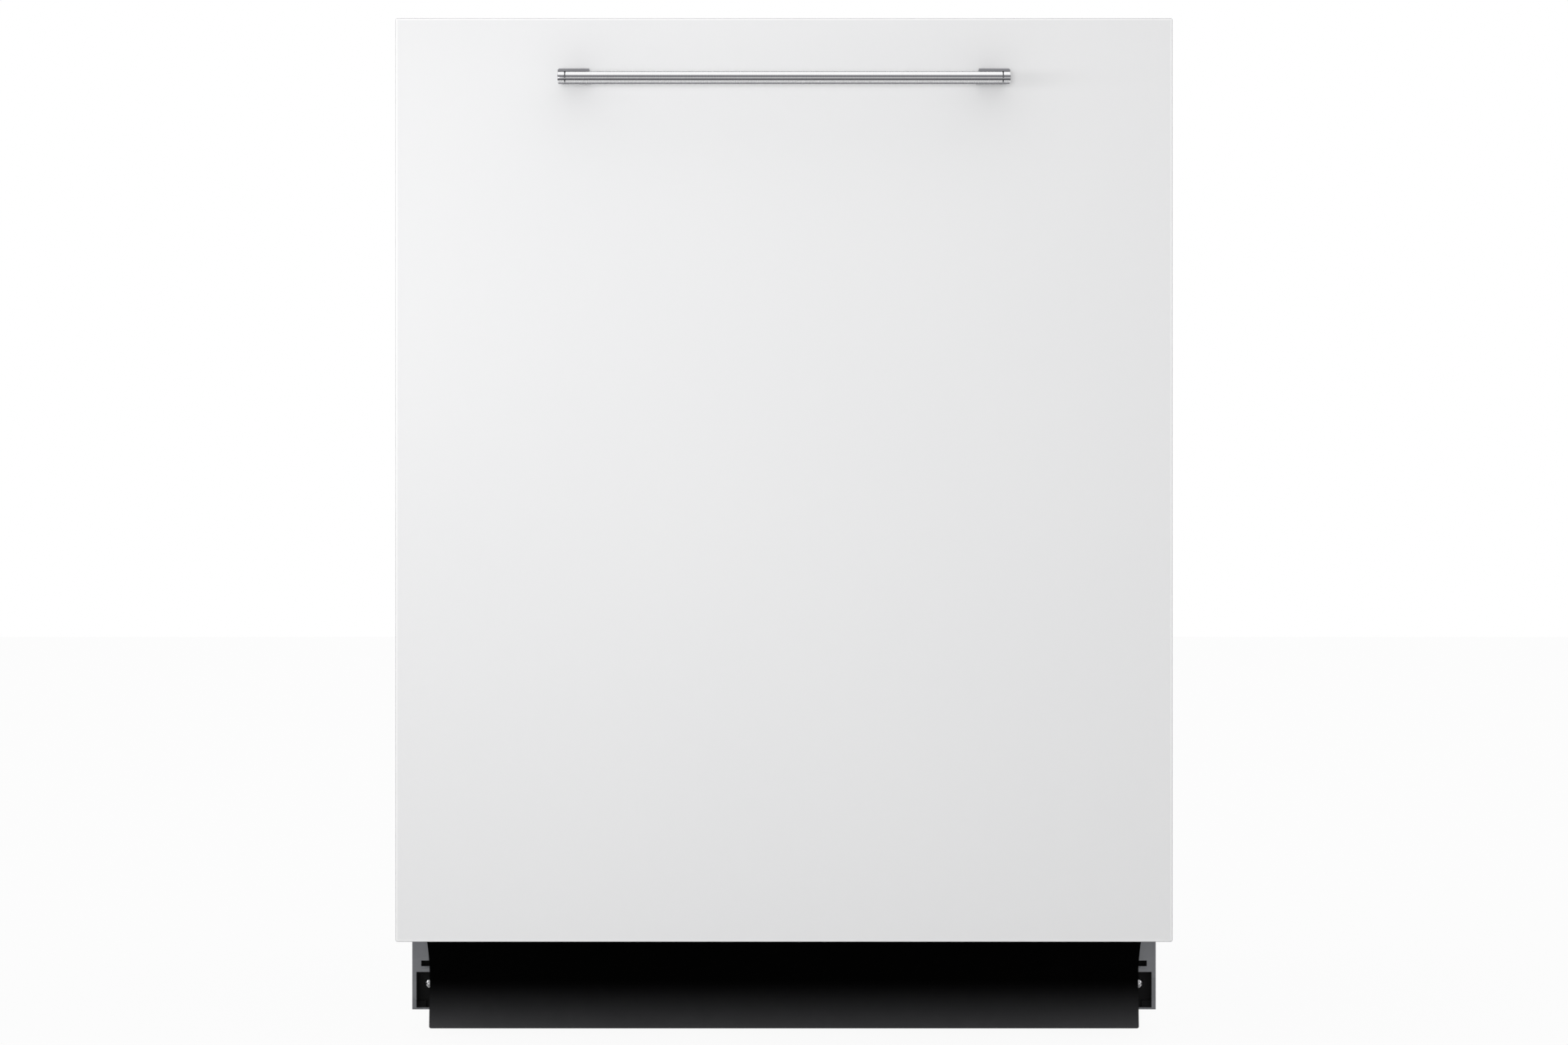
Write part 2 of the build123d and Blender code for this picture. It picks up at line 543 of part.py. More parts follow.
# Circulation pump: a finned motor lying beside the sump, with its rotor inside
PUMP_D = 88.0
PUMP_LEN = 150.0
PUMP_Z = 82.0
PUMP_Y = SUMP_Y
PUMP_WALL = 4.0
PUMP_FOOT_W = 40.0
PUMP_NOSE = 6.0
FINS = 5
FIN_STEP = 14.0
FIN_T = 5.0
FIN_PROUD = 3.0
BEARING_LEN = 12.0
BEARING_D = 20.0
SHAFT_END_GAP = 1.0
OUTLET_D = 24.0
OUTLET_Z = 104.0
OUTLET_LEN = 49.0  # pump's axis back to the joint with the hub's elbow
ROTOR_D = 60.0
ROTOR_LEN = 110.0
ROTOR_SHAFT_D = 10.0
OUTLET_END = PUMP_Y + OUTLET_LEN
PUMP_END_X = SUMP_X - SUMP_CUP_D / 2
PUMP_MID_X = PUMP_END_X - PUMP_LEN / 2
tray_inside_z = CASE_BOTTOM + TRAY_FLOOR
with BuildPart() as circulation_pump:
    rods_along("x", PUMP_LEN, PUMP_D, [(PUMP_MID_X, PUMP_Y, PUMP_Z)])
    chamfer(circulation_pump.edges().group_by(Axis.X)[0], PUMP_NOSE)
    fin_start = PUMP_MID_X - (FINS - 1) * FIN_STEP / 2
    fin_places = [(fin_start + k * FIN_STEP, PUMP_Y, PUMP_Z) for k in range(FINS)]
    rods_along("x", FIN_T, PUMP_D + 2 * FIN_PROUD, fin_places)
    rods_along("y", OUTLET_END - PUMP_Y, OUTLET_D, [(0, (OUTLET_END + PUMP_Y) / 2, OUTLET_Z)])
    foot_x = (PUMP_MID_X - PUMP_FOOT_W / 2, PUMP_MID_X + PUMP_FOOT_W / 2)
    block(*foot_x, PUMP_Y - PUMP_FOOT_W / 2, PUMP_Y + PUMP_FOOT_W / 2, tray_inside_z, PUMP_Z)
    pump_mid = (PUMP_MID_X, PUMP_Y, PUMP_Z)
    rods_along("x", PUMP_LEN - 2 * PUMP_WALL, ROTOR_D + 2 * PUMP_WALL, [pump_mid], Mode.SUBTRACT)
    for end in (-1, 1):
        seat_x = PUMP_MID_X + end * (PUMP_LEN / 2 - PUMP_WALL - BEARING_LEN / 2)
        rods_along("x", BEARING_LEN, BEARING_D, [(seat_x, PUMP_Y, PUMP_Z)])
        rods_along("x", BEARING_LEN, ROTOR_SHAFT_D + 2 * PIN_FIT, [(seat_x, PUMP_Y, PUMP_Z)], Mode.SUBTRACT)
keep("circulation_pump", circulation_pump.part)

with BuildPart() as pump_rotor:
    rods_along("x", ROTOR_LEN, ROTOR_D, [(PUMP_MID_X, PUMP_Y, PUMP_Z)])
    shaft_len = PUMP_LEN - 2 * (PUMP_WALL + SHAFT_END_GAP)
    rods_along("x", shaft_len, ROTOR_SHAFT_D, [(PUMP_MID_X, PUMP_Y, PUMP_Z)])
keep("pump_rotor", pump_rotor.part)

# Drain pump on the sump's other side, and the spigot for the drain hose
DRAIN_D = 52.0
DRAIN_LEN = 62.0
DRAIN_Z = 100.0
DRAIN_NOSE = 5.0
DRAIN_ROOT = 2.0  # pipe's start inside the pump
COLLAR_LEN = 8.0
COLLAR_WALL = 6.0
LEG_W = 16.0
SPIGOT_D = 19.0
SPIGOT_LEN = 24.0
SPIGOT_BACK = 6.0  # drain pump's middle in to the spigot
SPIGOT_Z = 104.0
drain_mid_x = SUMP_X + SUMP_CUP_D / 2 + DRAIN_LEN / 2
SPIGOT_X = drain_mid_x - SPIGOT_BACK
with BuildPart() as drain_pump:
    rods_along("x", DRAIN_LEN, DRAIN_D, [(drain_mid_x, SUMP_Y, DRAIN_Z)])
    chamfer(drain_pump.edges().group_by(Axis.X)[-1], DRAIN_NOSE)
    pipe_end = Y_BACK - 2 * SHEET
    pipe_start = SUMP_Y + DRAIN_D / 2 - DRAIN_ROOT
    rods_along("y", pipe_end - pipe_start, SPIGOT_D, [(SPIGOT_X, (pipe_start + pipe_end) / 2, SPIGOT_Z)])
    collar_y = pipe_end - SPIGOT_LEN - COLLAR_LEN / 2
    leg_x = (SPIGOT_X - LEG_W / 2, SPIGOT_X + LEG_W / 2)
    rods_along("y", COLLAR_LEN, SPIGOT_D + 2 * COLLAR_WALL, [(SPIGOT_X, collar_y, SPIGOT_Z)])
    block(*leg_x, collar_y - COLLAR_LEN / 2, collar_y + COLLAR_LEN / 2, tray_inside_z, SPIGOT_Z)
keep("drain_pump", drain_pump.part)

# Water inlet valve with the threaded spigot for the supply hose
VALVE_X = -190.0
VALVE_Z = 104.0
VALVE_W = 46.0
VALVE_LEN = 54.0
THREAD_D = 26.4
THREAD_LEN = 14.0
THREAD_WALL = 4.0
VALVE_EDGE_R = 5.0
VALVE_LEG_LEN = 20.0
with BuildPart() as inlet_valve:
    valve_back = Y_BACK - 2 * SHEET - THREAD_LEN
    block(
        VALVE_X - VALVE_W / 2,
        VALVE_X + VALVE_W / 2,
        valve_back - VALVE_LEN,
        valve_back,
        VALVE_Z - VALVE_W / 2,
        VALVE_Z + VALVE_W / 2,
    )
    fillet(inlet_valve.edges().filter_by(Axis.Y), VALVE_EDGE_R)
    rods_along("y", THREAD_LEN, THREAD_D, [(VALVE_X, valve_back + THREAD_LEN / 2, VALVE_Z)])
    bore_y = valve_back + THREAD_LEN / 2
    rods_along("y", THREAD_LEN, THREAD_D - 2 * THREAD_WALL, [(VALVE_X, bore_y, VALVE_Z)], Mode.SUBTRACT)
    leg_mid_y = valve_back - VALVE_LEN / 2
    leg_x = (VALVE_X - LEG_W / 2, VALVE_X + LEG_W / 2)
    leg_y = (leg_mid_y - VALVE_LEG_LEN / 2, leg_mid_y + VALVE_LEG_LEN / 2)
    block(*leg_x, *leg_y, tray_inside_z, VALVE_Z - VALVE_W / 2)
keep("inlet_valve", inlet_valve.part)

# Terminal box where the mains lead is wired in, with its gland
BOX_X = 60.0
BOX_W = 90.0
BOX_D = 60.0
BOX_TOP = 118.0
GLAND_D = 20.0
GLAND_BORE_D = 9.0
GLAND_BORE_LEN = 22.0
GLAND_ROOT = 2.0
GLAND_DROP = 22.0
BOX_EDGE_R = 4.0
with BuildPart() as terminal_box:
    box_back = Y_TRAY_BACK - TRAY_WALL
    gland_z = BOX_TOP - GLAND_DROP
    block(BOX_X - BOX_W / 2, BOX_X + BOX_W / 2, box_back - BOX_D, box_back, tray_inside_z, BOX_TOP)
    fillet(terminal_box.edges().filter_by(Axis.Z), BOX_EDGE_R)
    gland_end = Y_BACK - SHEET
    gland_mid = (BOX_X, (box_back - GLAND_ROOT + gland_end) / 2, gland_z)
    rods_along("y", gland_end - box_back + GLAND_ROOT, GLAND_D, [gland_mid])
    rods_along("y", 2 * GLAND_BORE_LEN, GLAND_BORE_D, [(BOX_X, gland_end, gland_z)], Mode.SUBTRACT)
keep("terminal_box", terminal_box.part)

# Furniture panel: a finished board with eased edges, screwed on from inside the door
Y_BAR = Y_PANEL - BAR_REACH
HANDLE_X = (BAR_LEN - POST_W) / 2
Z_POST = Z_BAR + POST_RISE
HANDLE_HEAD_D = 9.0
HANDLE_HEAD_H = 3.0
HANDLE_GRIP = 10.0  # how far a handle screw reaches into its post
SCREW_GAP = 0.2  # radial gap round a screw's shank
PANEL_SCREW_X = 255.0
PANEL_SCREW_IN = 60.0  # panel's top or bottom edge to a fixing screw
PANEL_SCREW_LEN = 14.0
handle_holes = [(sign * HANDLE_X, Y_PANEL + PANEL_T / 2, Z_POST) for sign in SIDES.values()]
panel_screw_zs = (Z_PANEL_BOTTOM + PANEL_SCREW_IN, Z_PANEL_TOP - PANEL_SCREW_IN)
panel_screw_places = [
    (sign * PANEL_SCREW_X, Y_DOOR + DOOR_SKIN, z) for sign in SIDES.values() for z in panel_screw_zs
]

with BuildPart() as front_panel:
    block(-PANEL_W / 2, PANEL_W / 2, Y_PANEL, Y_DOOR, Z_PANEL_BOTTOM, Z_PANEL_TOP)
    fillet(front_panel.edges().filter_by(Axis.Y), PANEL_EDGE_R)
    fillet(front_panel.edges().group_by(Axis.Y)[0], PANEL_EDGE_R)
    rods_along("y", 2 * PANEL_T, HANDLE_SCREW_D + 2 * SCREW_GAP, handle_holes, Mode.SUBTRACT)
    head_holes = [(x, Y_DOOR, z) for x, y, z in handle_holes]
    rods_along("y", 2 * (HANDLE_HEAD_H + FIT), HANDLE_HEAD_D + 4 * SCREW_GAP, head_holes, Mode.SUBTRACT)
    pilot_holes = [(x, Y_DOOR, z) for x, y, z in panel_screw_places]
    rods_along("y", 2 * PANEL_SCREW_LEN, SCREW_D + 2 * SCREW_GAP, pilot_holes, Mode.SUBTRACT)
keep("front_panel", front_panel.part)

# Handle bar: brushed rod with a thin neck at each end that carries its cap
NECK_D = 6.4
BAR_EDGE = 0.25
NECK_IN = 3.2  # neck's length inside a cap
bar_body = BAR_LEN - 2 * (CAP_LEN + CAP_GROOVE)
with BuildPart() as handle_bar:
    rods_along("x", bar_body, BAR_D, [(0, Y_BAR, Z_BAR)])
    chamfer(handle_bar.edges(), BAR_EDGE)
    rods_along("x", bar_body + 2 * (CAP_GROOVE + NECK_IN), NECK_D, [(0, Y_BAR, Z_BAR)])
keep("handle_bar", handle_bar.part)

cap_mid = (BAR_LEN - CAP_LEN) / 2
neck_seat = BAR_LEN / 2 - CAP_LEN + NECK_IN / 2
with BuildPart() as handle_caps:
    rods_along("x", CAP_LEN, BAR_D, [(cap_mid, Y_BAR, Z_BAR)])
    fillet(handle_caps.edges().group_by(Axis.X)[-1], CAP_EDGE_R)
    rods_along("x", NECK_IN + FIT, NECK_D + PIN_FIT, [(neck_seat, Y_BAR, Z_BAR)], Mode.SUBTRACT)
    mirror(about=Plane.YZ)
keep("handle_caps", handle_caps.part)

# Handle posts: cast feet that rise from the panel behind the bar and saddle it from above
POST_LIP = 1.9  # saddle's edge above the bar
POST_NOSE = 1.0  # saddle's reach in front of the bar's axis
POST_FOOT_LEN = 9.0
post_top = Z_POST + POST_H / 2
post_low = Z_POST - POST_H / 2
post_in_x = BAR_LEN / 2 - POST_W
post_out_x = BAR_LEN / 2
with BuildPart() as handle_post:
    with BuildSketch(facing_right(post_in_x)):
        with BuildLine():
            Polyline(
                (Y_PANEL, post_low),
                (Y_PANEL, post_top),
                (Y_PANEL - POST_FOOT_LEN, post_top),
                (Y_BAR - POST_NOSE, Z_BAR + BAR_D / 2 + POST_LIP),
                (Y_BAR - POST_NOSE, Z_BAR),
                (Y_BAR + BAR_D / 2, Z_BAR - BAR_D / 4),
                (Y_PANEL - POST_FOOT_LEN, post_low),
                close=True,
            )
        make_face()
    extrude(amount=POST_W)
    with BuildSketch(facing_front(Y_PANEL)):
        with BuildLine():
            Polyline(
                (post_in_x, Z_BAR - BAR_D),
                (post_out_x, Z_BAR - BAR_D),
                (post_out_x, post_top - POST_CHAMFER),
                (post_out_x - POST_CHAMFER, post_top),
                (post_in_x + POST_EDGE_R, post_top),
            )
            RadiusArc((post_in_x + POST_EDGE_R, post_top), (post_in_x, post_top - POST_EDGE_R), -POST_EDGE_R)
            Line((post_in_x, post_top - POST_EDGE_R), (post_in_x, Z_BAR - BAR_D))
        make_face()
    extrude(amount=2 * BAR_REACH, mode=Mode.INTERSECT)
    rods_along("x", 2 * BAR_LEN, BAR_D + 2 * PIN_FIT, [(0, Y_BAR, Z_BAR)], Mode.SUBTRACT)
    tapped = [(HANDLE_X, Y_PANEL, Z_POST)]
    rods_along("y", 2 * (HANDLE_GRIP + FIT), HANDLE_SCREW_D + PIN_FIT, tapped, Mode.SUBTRACT)
keep("handle_post_right", handle_post.part)
keep("handle_post_left", mirrored(handle_post.part))

handle_screw_len = PANEL_T - HANDLE_HEAD_H - FIT + HANDLE_GRIP
handle_screw = pan_screw(HANDLE_HEAD_D, HANDLE_HEAD_H, HANDLE_SCREW_D, handle_screw_len, SCREW_CROSS)

# Outer door: a steel pan open to the back and below
DOOR_HALF = DOOR_W / 2
Y_LINER_FRONT = Y_LINER - DOOR_SKIN
with BuildPart() as outer_door:
    block(-DOOR_HALF, DOOR_HALF, Y_DOOR, Y_LINER_FRONT, Z_DOOR_BOTTOM, Z_DOOR_TOP)
    block(
        DOOR_SKIN - DOOR_HALF,
        DOOR_HALF - DOOR_SKIN,
        Y_DOOR + DOOR_SKIN,
        Y_LINER,
        Z_DOOR_BOTTOM - OVER,
        Z_DOOR_TOP + OVER,
        Mode.SUBTRACT,
    )
    rods_along("y", 4 * DOOR_SKIN, SCREW_D + 2 * SCREW_GAP, panel_screw_places, Mode.SUBTRACT)
keep("outer_door", outer_door.part)

# Door screws: two through the panel into the handle's posts, four through the pan into the panel
panel_screw = pan_screw(SCREW_HEAD_D, SCREW_HEAD_H, SCREW_D, PANEL_SCREW_LEN, SCREW_CROSS)
with BuildPart() as door_screws:
    handle_seats = [(x, Y_DOOR - HANDLE_HEAD_H - FIT, z) for x, y, z in handle_holes]
    with Locations(*[Location(seat, HEAD_BACKWARD) for seat in handle_seats]):
        add(handle_screw)
    with Locations(*[Location(place, HEAD_BACKWARD) for place in panel_screw_places]):
        add(panel_screw)
keep("door_screws", door_screws.part)

# Inner door: a drawn stainless liner with a deep field, cut out for the dispenser and the striker
DISP_X = 40.0
DISP_Z = 452.0
DISP_W = 210.0
DISP_H = 132.0
DISP_LIP = 7.0  # dispenser's frame over the liner
DISP_PROUD = 4.0
DISP_DEPTH = 30.0
LINER_FIELD_R = 30.0
STRIKER_OVER = 2.5  # seal's top edge up to the striker's middle
STRIKER_Z = TUB_CEILING_Z + SEAL_IN + SEAL_W + STRIKER_OVER
STRIKER_W = 24.0
STRIKER_T = 3.0
STRIKER_TIP_R = 3.0
STRIKER_LEN = 25.0
STRIKER_GAP = 2.0
field_floor = Y_LINER - LINER_FIELD_DEPTH
liner_h = Z_DOOR_TOP - Z_DOOR_BOTTOM
liner_mid_z = (Z_DOOR_TOP + Z_DOOR_BOTTOM) / 2
slot_half = STRIKER_W / 2 + STRIKER_GAP
slot_low = STRIKER_Z - STRIKER_T / 2 - STRIKER_GAP
slot_high = STRIKER_Z + STRIKER_T / 2 + STRIKER_GAP
with BuildPart() as inner_door:
    block(-DOOR_HALF, DOOR_HALF, Y_LINER_FRONT, Y_LINER, Z_DOOR_BOTTOM, Z_DOOR_TOP)
    field_w = DOOR_W - 2 * LINER_BORDER
    field_h = liner_h - 2 * LINER_BORDER
    liner_plane = Plane.back.offset(Y_LINER)
    field_mid = [(0, liner_mid_z)]
    press_fields(liner_plane, field_mid, field_w, field_h, LINER_FIELD_DEPTH, LINER_FIELD_R, DOOR_SKIN)
    cut_w, cut_h = DISP_W - 2 * DISP_LIP, DISP_H - 2 * DISP_LIP
    cut_y = (field_floor - DISP_DEPTH, field_floor + OVER)
    cut_x = (DISP_X - cut_w / 2, DISP_X + cut_w / 2)
    block(*cut_x, *cut_y, DISP_Z - cut_h / 2, DISP_Z + cut_h / 2, Mode.SUBTRACT)
    block(-slot_half, slot_half, Y_LINER - OVER, Y_LINER + OVER, slot_low, slot_high, Mode.SUBTRACT)
keep("inner_door", inner_door.part)

# Control strip: a moulded cover along the door's top edge, with skirts that reach into the door
STRIP_T = 3.0
STRIP_SKIRT_T = 2.0
STRIP_SKIRT_H = 15.0
BUTTON_W = 18.0
BUTTON_D = 10.0
BUTTON_PROUD = 1.2
BUTTON_LEN = 12.2
BUTTON_TRAVEL = 1.5
BUTTON_FLANGE = 2.0  # retaining lip round a button, under the strip
BUTTON_LIP_T = 1.6
BUTTON_EDGE_R = 1.0
BUTTON_XS = {"button_power": 70.0, "button_program": 120.0, "button_start": 240.0}
WINDOW_X = 180.0
WINDOW_W = 62.0
WINDOW_D = 14.0
WINDOW_T = 1.5
WINDOW_R = 2.0
strip_y = (Y_DOOR + DOOR_SKIN, Y_LINER_FRONT)
strip_mid_y = sum(strip_y) / 2
strip_under = Z_DOOR_TOP - STRIP_T
strip_half = DOOR_HALF - DOOR_SKIN
skirt_low = strip_under - STRIP_SKIRT_H
skirt_inside = (strip_y[0] + STRIP_SKIRT_T, strip_y[1] - STRIP_SKIRT_T)
with BuildPart() as control_strip:
    block(-strip_half, strip_half, *strip_y, skirt_low, Z_DOOR_TOP)
    block(-strip_half - OVER, strip_half + OVER, *skirt_inside, skirt_low - OVER, strip_under, Mode.SUBTRACT)
    for x in BUTTON_XS.values():
        with Locations((x, strip_mid_y, Z_DOOR_TOP)):
            Box(BUTTON_W + 2 * FIT, BUTTON_D + 2 * FIT, 3 * STRIP_T, mode=Mode.SUBTRACT)
    with Locations((WINDOW_X, strip_mid_y, Z_DOOR_TOP)):
        Box(WINDOW_W + 2 * FIT, WINDOW_D + 2 * FIT, 2 * WINDOW_T, mode=Mode.SUBTRACT)
    slot_y = (skirt_inside[1] - OVER, strip_y[1] + OVER)
    block(-slot_half, slot_half, *slot_y, slot_low, strip_under, Mode.SUBTRACT)
keep("control_strip", control_strip.part)

with BuildPart() as display_window:
    with Locations((WINDOW_X, strip_mid_y, Z_DOOR_TOP - WINDOW_T / 2)):
        Box(WINDOW_W, WINDOW_D, WINDOW_T)
    fillet(display_window.edges().filter_by(Axis.Z), WINDOW_R)
keep("display_window", display_window.part)

for name, x in BUTTON_XS.items():
    with BuildPart() as button:
        button_top = Z_DOOR_TOP + BUTTON_PROUD
        with Locations((x, strip_mid_y, button_top - BUTTON_LEN / 2)):
            Box(BUTTON_W, BUTTON_D, BUTTON_LEN)
        fillet(button.edges().group_by(Axis.Z)[-1], BUTTON_EDGE_R)
        with Locations((x, strip_mid_y, strip_under - FIT - BUTTON_LIP_T / 2)):
            Box(BUTTON_W + 2 * BUTTON_FLANGE, BUTTON_D + 2 * BUTTON_FLANGE, BUTTON_LIP_T)
    keep(name, button.part)

# Control board: clamped between the strip's skirts, under the buttons
BOARD_T = 1.6
BOARD_LEFT = 45.0
BOARD_RIGHT = 268.0
board_top = Z_DOOR_TOP + BUTTON_PROUD - BUTTON_LEN - BUTTON_TRAVEL - 2 * FIT
with BuildPart() as control_board:
    block(BOARD_LEFT, BOARD_RIGHT, *skirt_inside, board_top - BOARD_T, board_top)
keep("control_board", control_board.part)

# Door latch: a moulded block under the strip with a mouth for the striker
LATCH_W = 50.0
LATCH_DEPTH = 32.0
LATCH_H = 13.0
LATCH_BOTTOM = strip_under - LATCH_H
striker_tip = Y_RIM - STRIKER_LEN
latch_y = (skirt_inside[1] - LATCH_DEPTH, skirt_inside[1])
with BuildPart() as latch_unit:
    block(-LATCH_W / 2, LATCH_W / 2, *latch_y, LATCH_BOTTOM, strip_under)
    mouth_y = (striker_tip - STRIKER_GAP, latch_y[1] + OVER)
    block(-slot_half, slot_half, *mouth_y, slot_low, slot_high, Mode.SUBTRACT)
keep("latch_unit", latch_unit.part)

# Striker: a steel tongue with a catch window, on the tub's rim above the seal
STRIKER_BASE_W = 44.0
STRIKER_BASE_H = 14.0
STRIKER_BASE_T = 2.0
CATCH_W = 11.0
CATCH_D = 8.0
CATCH_IN = 4.0  # tip back to the catch window
with BuildPart() as striker:
    tongue_z = (STRIKER_Z - STRIKER_T / 2, STRIKER_Z + STRIKER_T / 2)
    block(-STRIKER_W / 2, STRIKER_W / 2, striker_tip, Y_RIM, *tongue_z)
    fillet(striker.edges().filter_by(Axis.Z).group_by(Axis.Y)[0], STRIKER_TIP_R)
    base_x = STRIKER_BASE_W / 2
    block(-base_x, base_x, Y_RIM - STRIKER_BASE_T, Y_RIM, tongue_z[0], tongue_z[0] + STRIKER_BASE_H)
    catch_y = (striker_tip + CATCH_IN, striker_tip + CATCH_IN + CATCH_D)
    block(-CATCH_W / 2, CATCH_W / 2, *catch_y, tongue_z[0] - OVER, tongue_z[1] + OVER, Mode.SUBTRACT)
keep("striker", striker.part)

# Detergent dispenser: a moulded unit let into the liner, with a cup and a rinse-aid filler
CUP_W = 84.0
CUP_H = 66.0
CUP_DEPTH = 24.0
CUP_X = -44.0  # from the dispenser's middle
CUP_R = 8.0
FILLER_X = 62.0
FILLER_D = 24.0
FILLER_DEPTH = 11.0
LID_OVER = 4.0  # lid past the cup on each side
LID_T = 5.0
LID_R = 8.0
LID_PIN_D = 3.0
LID_BARREL_D = 6.0
LID_EAR_W = 5.0
LID_EAR_GAP = 0.4
DISP_FACE = field_floor + DISP_PROUD
DISP_R = 10.0
lid_w = CUP_W + 2 * LID_OVER
lid_x = DISP_X + CUP_X
lid_low = DISP_Z - CUP_H / 2 - LID_OVER
lid_high = DISP_Z + CUP_H / 2 + LID_OVER
lid_axis_y = DISP_FACE + FIT + LID_BARREL_D / 2
lid_axis_z = lid_low - LID_BARREL_D / 2
ear_mids = [
    (lid_x + sign * (lid_w / 2 + LID_EAR_GAP + LID_EAR_W / 2), lid_axis_y, lid_axis_z)
    for sign in SIDES.values()
]
with BuildPart() as dispenser_body:
    disp_plane = Plane.back.offset(DISP_FACE)
    with BuildSketch(disp_plane):
        with Locations((-DISP_X, DISP_Z)):
            RectangleRounded(DISP_W, DISP_H, DISP_R)
    extrude(amount=-DISP_PROUD)
    body_w, body_h = DISP_W - 2 * DISP_LIP - 2 * FIT, DISP_H - 2 * DISP_LIP - 2 * FIT
    body_y = (field_floor - DISP_DEPTH, field_floor + DISP_PROUD / 2)
    block(DISP_X - body_w / 2, DISP_X + body_w / 2, *body_y, DISP_Z - body_h / 2, DISP_Z + body_h / 2)
    with BuildSketch(disp_plane):
        with Locations((-lid_x, DISP_Z)):
            RectangleRounded(CUP_W, CUP_H, CUP_R)
    extrude(amount=-CUP_DEPTH, mode=Mode.SUBTRACT)
    filler_mid = (DISP_X + FILLER_X, DISP_FACE - FILLER_DEPTH / 2, DISP_Z)
    rods_along("y", FILLER_DEPTH, FILLER_D + 2 * FIT, [filler_mid], Mode.SUBTRACT)
    for x, y, z in ear_mids:
        ear_x = (x - LID_EAR_W / 2, x + LID_EAR_W / 2)
        block(*ear_x, DISP_FACE - OVER, y, z - LID_BARREL_D / 2, z + LID_BARREL_D / 2)
    rods_along("x", LID_EAR_W, LID_BARREL_D, ear_mids)
    rods_along("x", LID_EAR_W + OVER, LID_PIN_D + 2 * PIN_FIT, ear_mids, Mode.SUBTRACT)
keep("dispenser_body", dispenser_body.part)

with BuildPart() as dispenser_lid:
    lid_y = (DISP_FACE + FIT, DISP_FACE + FIT + LID_T)
    block(lid_x - lid_w / 2, lid_x + lid_w / 2, *lid_y, lid_axis_z, lid_high)
    fillet(dispenser_lid.edges().filter_by(Axis.Y).group_by(Axis.Z)[-1], LID_R)
    rods_along("x", lid_w, LID_BARREL_D, [(lid_x, lid_axis_y, lid_axis_z)])
    pin_len = lid_w + 2 * (LID_EAR_GAP + LID_EAR_W)
    rods_along("x", pin_len, LID_PIN_D, [(lid_x, lid_axis_y, lid_axis_z)])
keep("dispenser_lid", dispenser_lid.part)

CAP_D = 40.0
CAP_T = 4.0
RINSE_CAP_R = 2.0
GRIP_W = 7.0
GRIP_H = 6.0
with BuildPart() as rinse_cap:
    cap_x = DISP_X + FILLER_X
    rods_along("y", CAP_T, CAP_D, [(cap_x, DISP_FACE + FIT + CAP_T / 2, DISP_Z)])
    stem_len = FILLER_DEPTH - FIT
    rods_along("y", stem_len, FILLER_D, [(cap_x, DISP_FACE + CAP_T - stem_len / 2, DISP_Z)])
    grip_y = (DISP_FACE + CAP_T, DISP_FACE + CAP_T + GRIP_H)
    block(cap_x - CAP_D / 2 + 3, cap_x + CAP_D / 2 - 3, *grip_y, DISP_Z - GRIP_W / 2, DISP_Z + GRIP_W / 2)
    fillet(rinse_cap.edges().group_by(Axis.Y)[-1], RINSE_CAP_R)
keep("rinse_cap", rinse_cap.part)

# Hinge brackets: steel plates that stand in the tray and reach out over the kick plate
EAR_R = 9.0
ARM_TOP = 6.0  # bracket's arm above the hinge axis
ARM_LOW = 12.0
BRACKET_LEN = 50.0
BRACKET_FOOT_W = 18.0
hinge_hole_d = HINGE_PIN_D + 2 * PIN_FIT
bracket_front = Y_TRAY + TRAY_WALL
with BuildPart() as hinge_bracket:
    with BuildSketch(facing_right(HINGE_IN)):
        with BuildLine():
            Polyline(
                (HINGE_Y, HINGE_Z + ARM_TOP),
                (bracket_front + BRACKET_LEN, HINGE_Z + ARM_TOP),
                (bracket_front + BRACKET_LEN, tray_inside_z),
                (bracket_front, tray_inside_z),
                (bracket_front, HINGE_Z - ARM_LOW),
                (HINGE_Y, HINGE_Z - EAR_R),
                close=True,
            )
        make_face()
        with Locations((HINGE_Y, HINGE_Z)):
            Circle(EAR_R)
            Circle(hinge_hole_d / 2, mode=Mode.SUBTRACT)
    extrude(amount=HINGE_PLATE)
    foot_y = (bracket_front, bracket_front + BRACKET_LEN)
    block(HINGE_IN, HINGE_IN + BRACKET_FOOT_W, *foot_y, tray_inside_z, tray_inside_z + HINGE_PLATE)
keep("hinge_bracket_right", hinge_bracket.part)
keep("hinge_bracket_left", mirrored(hinge_bracket.part))

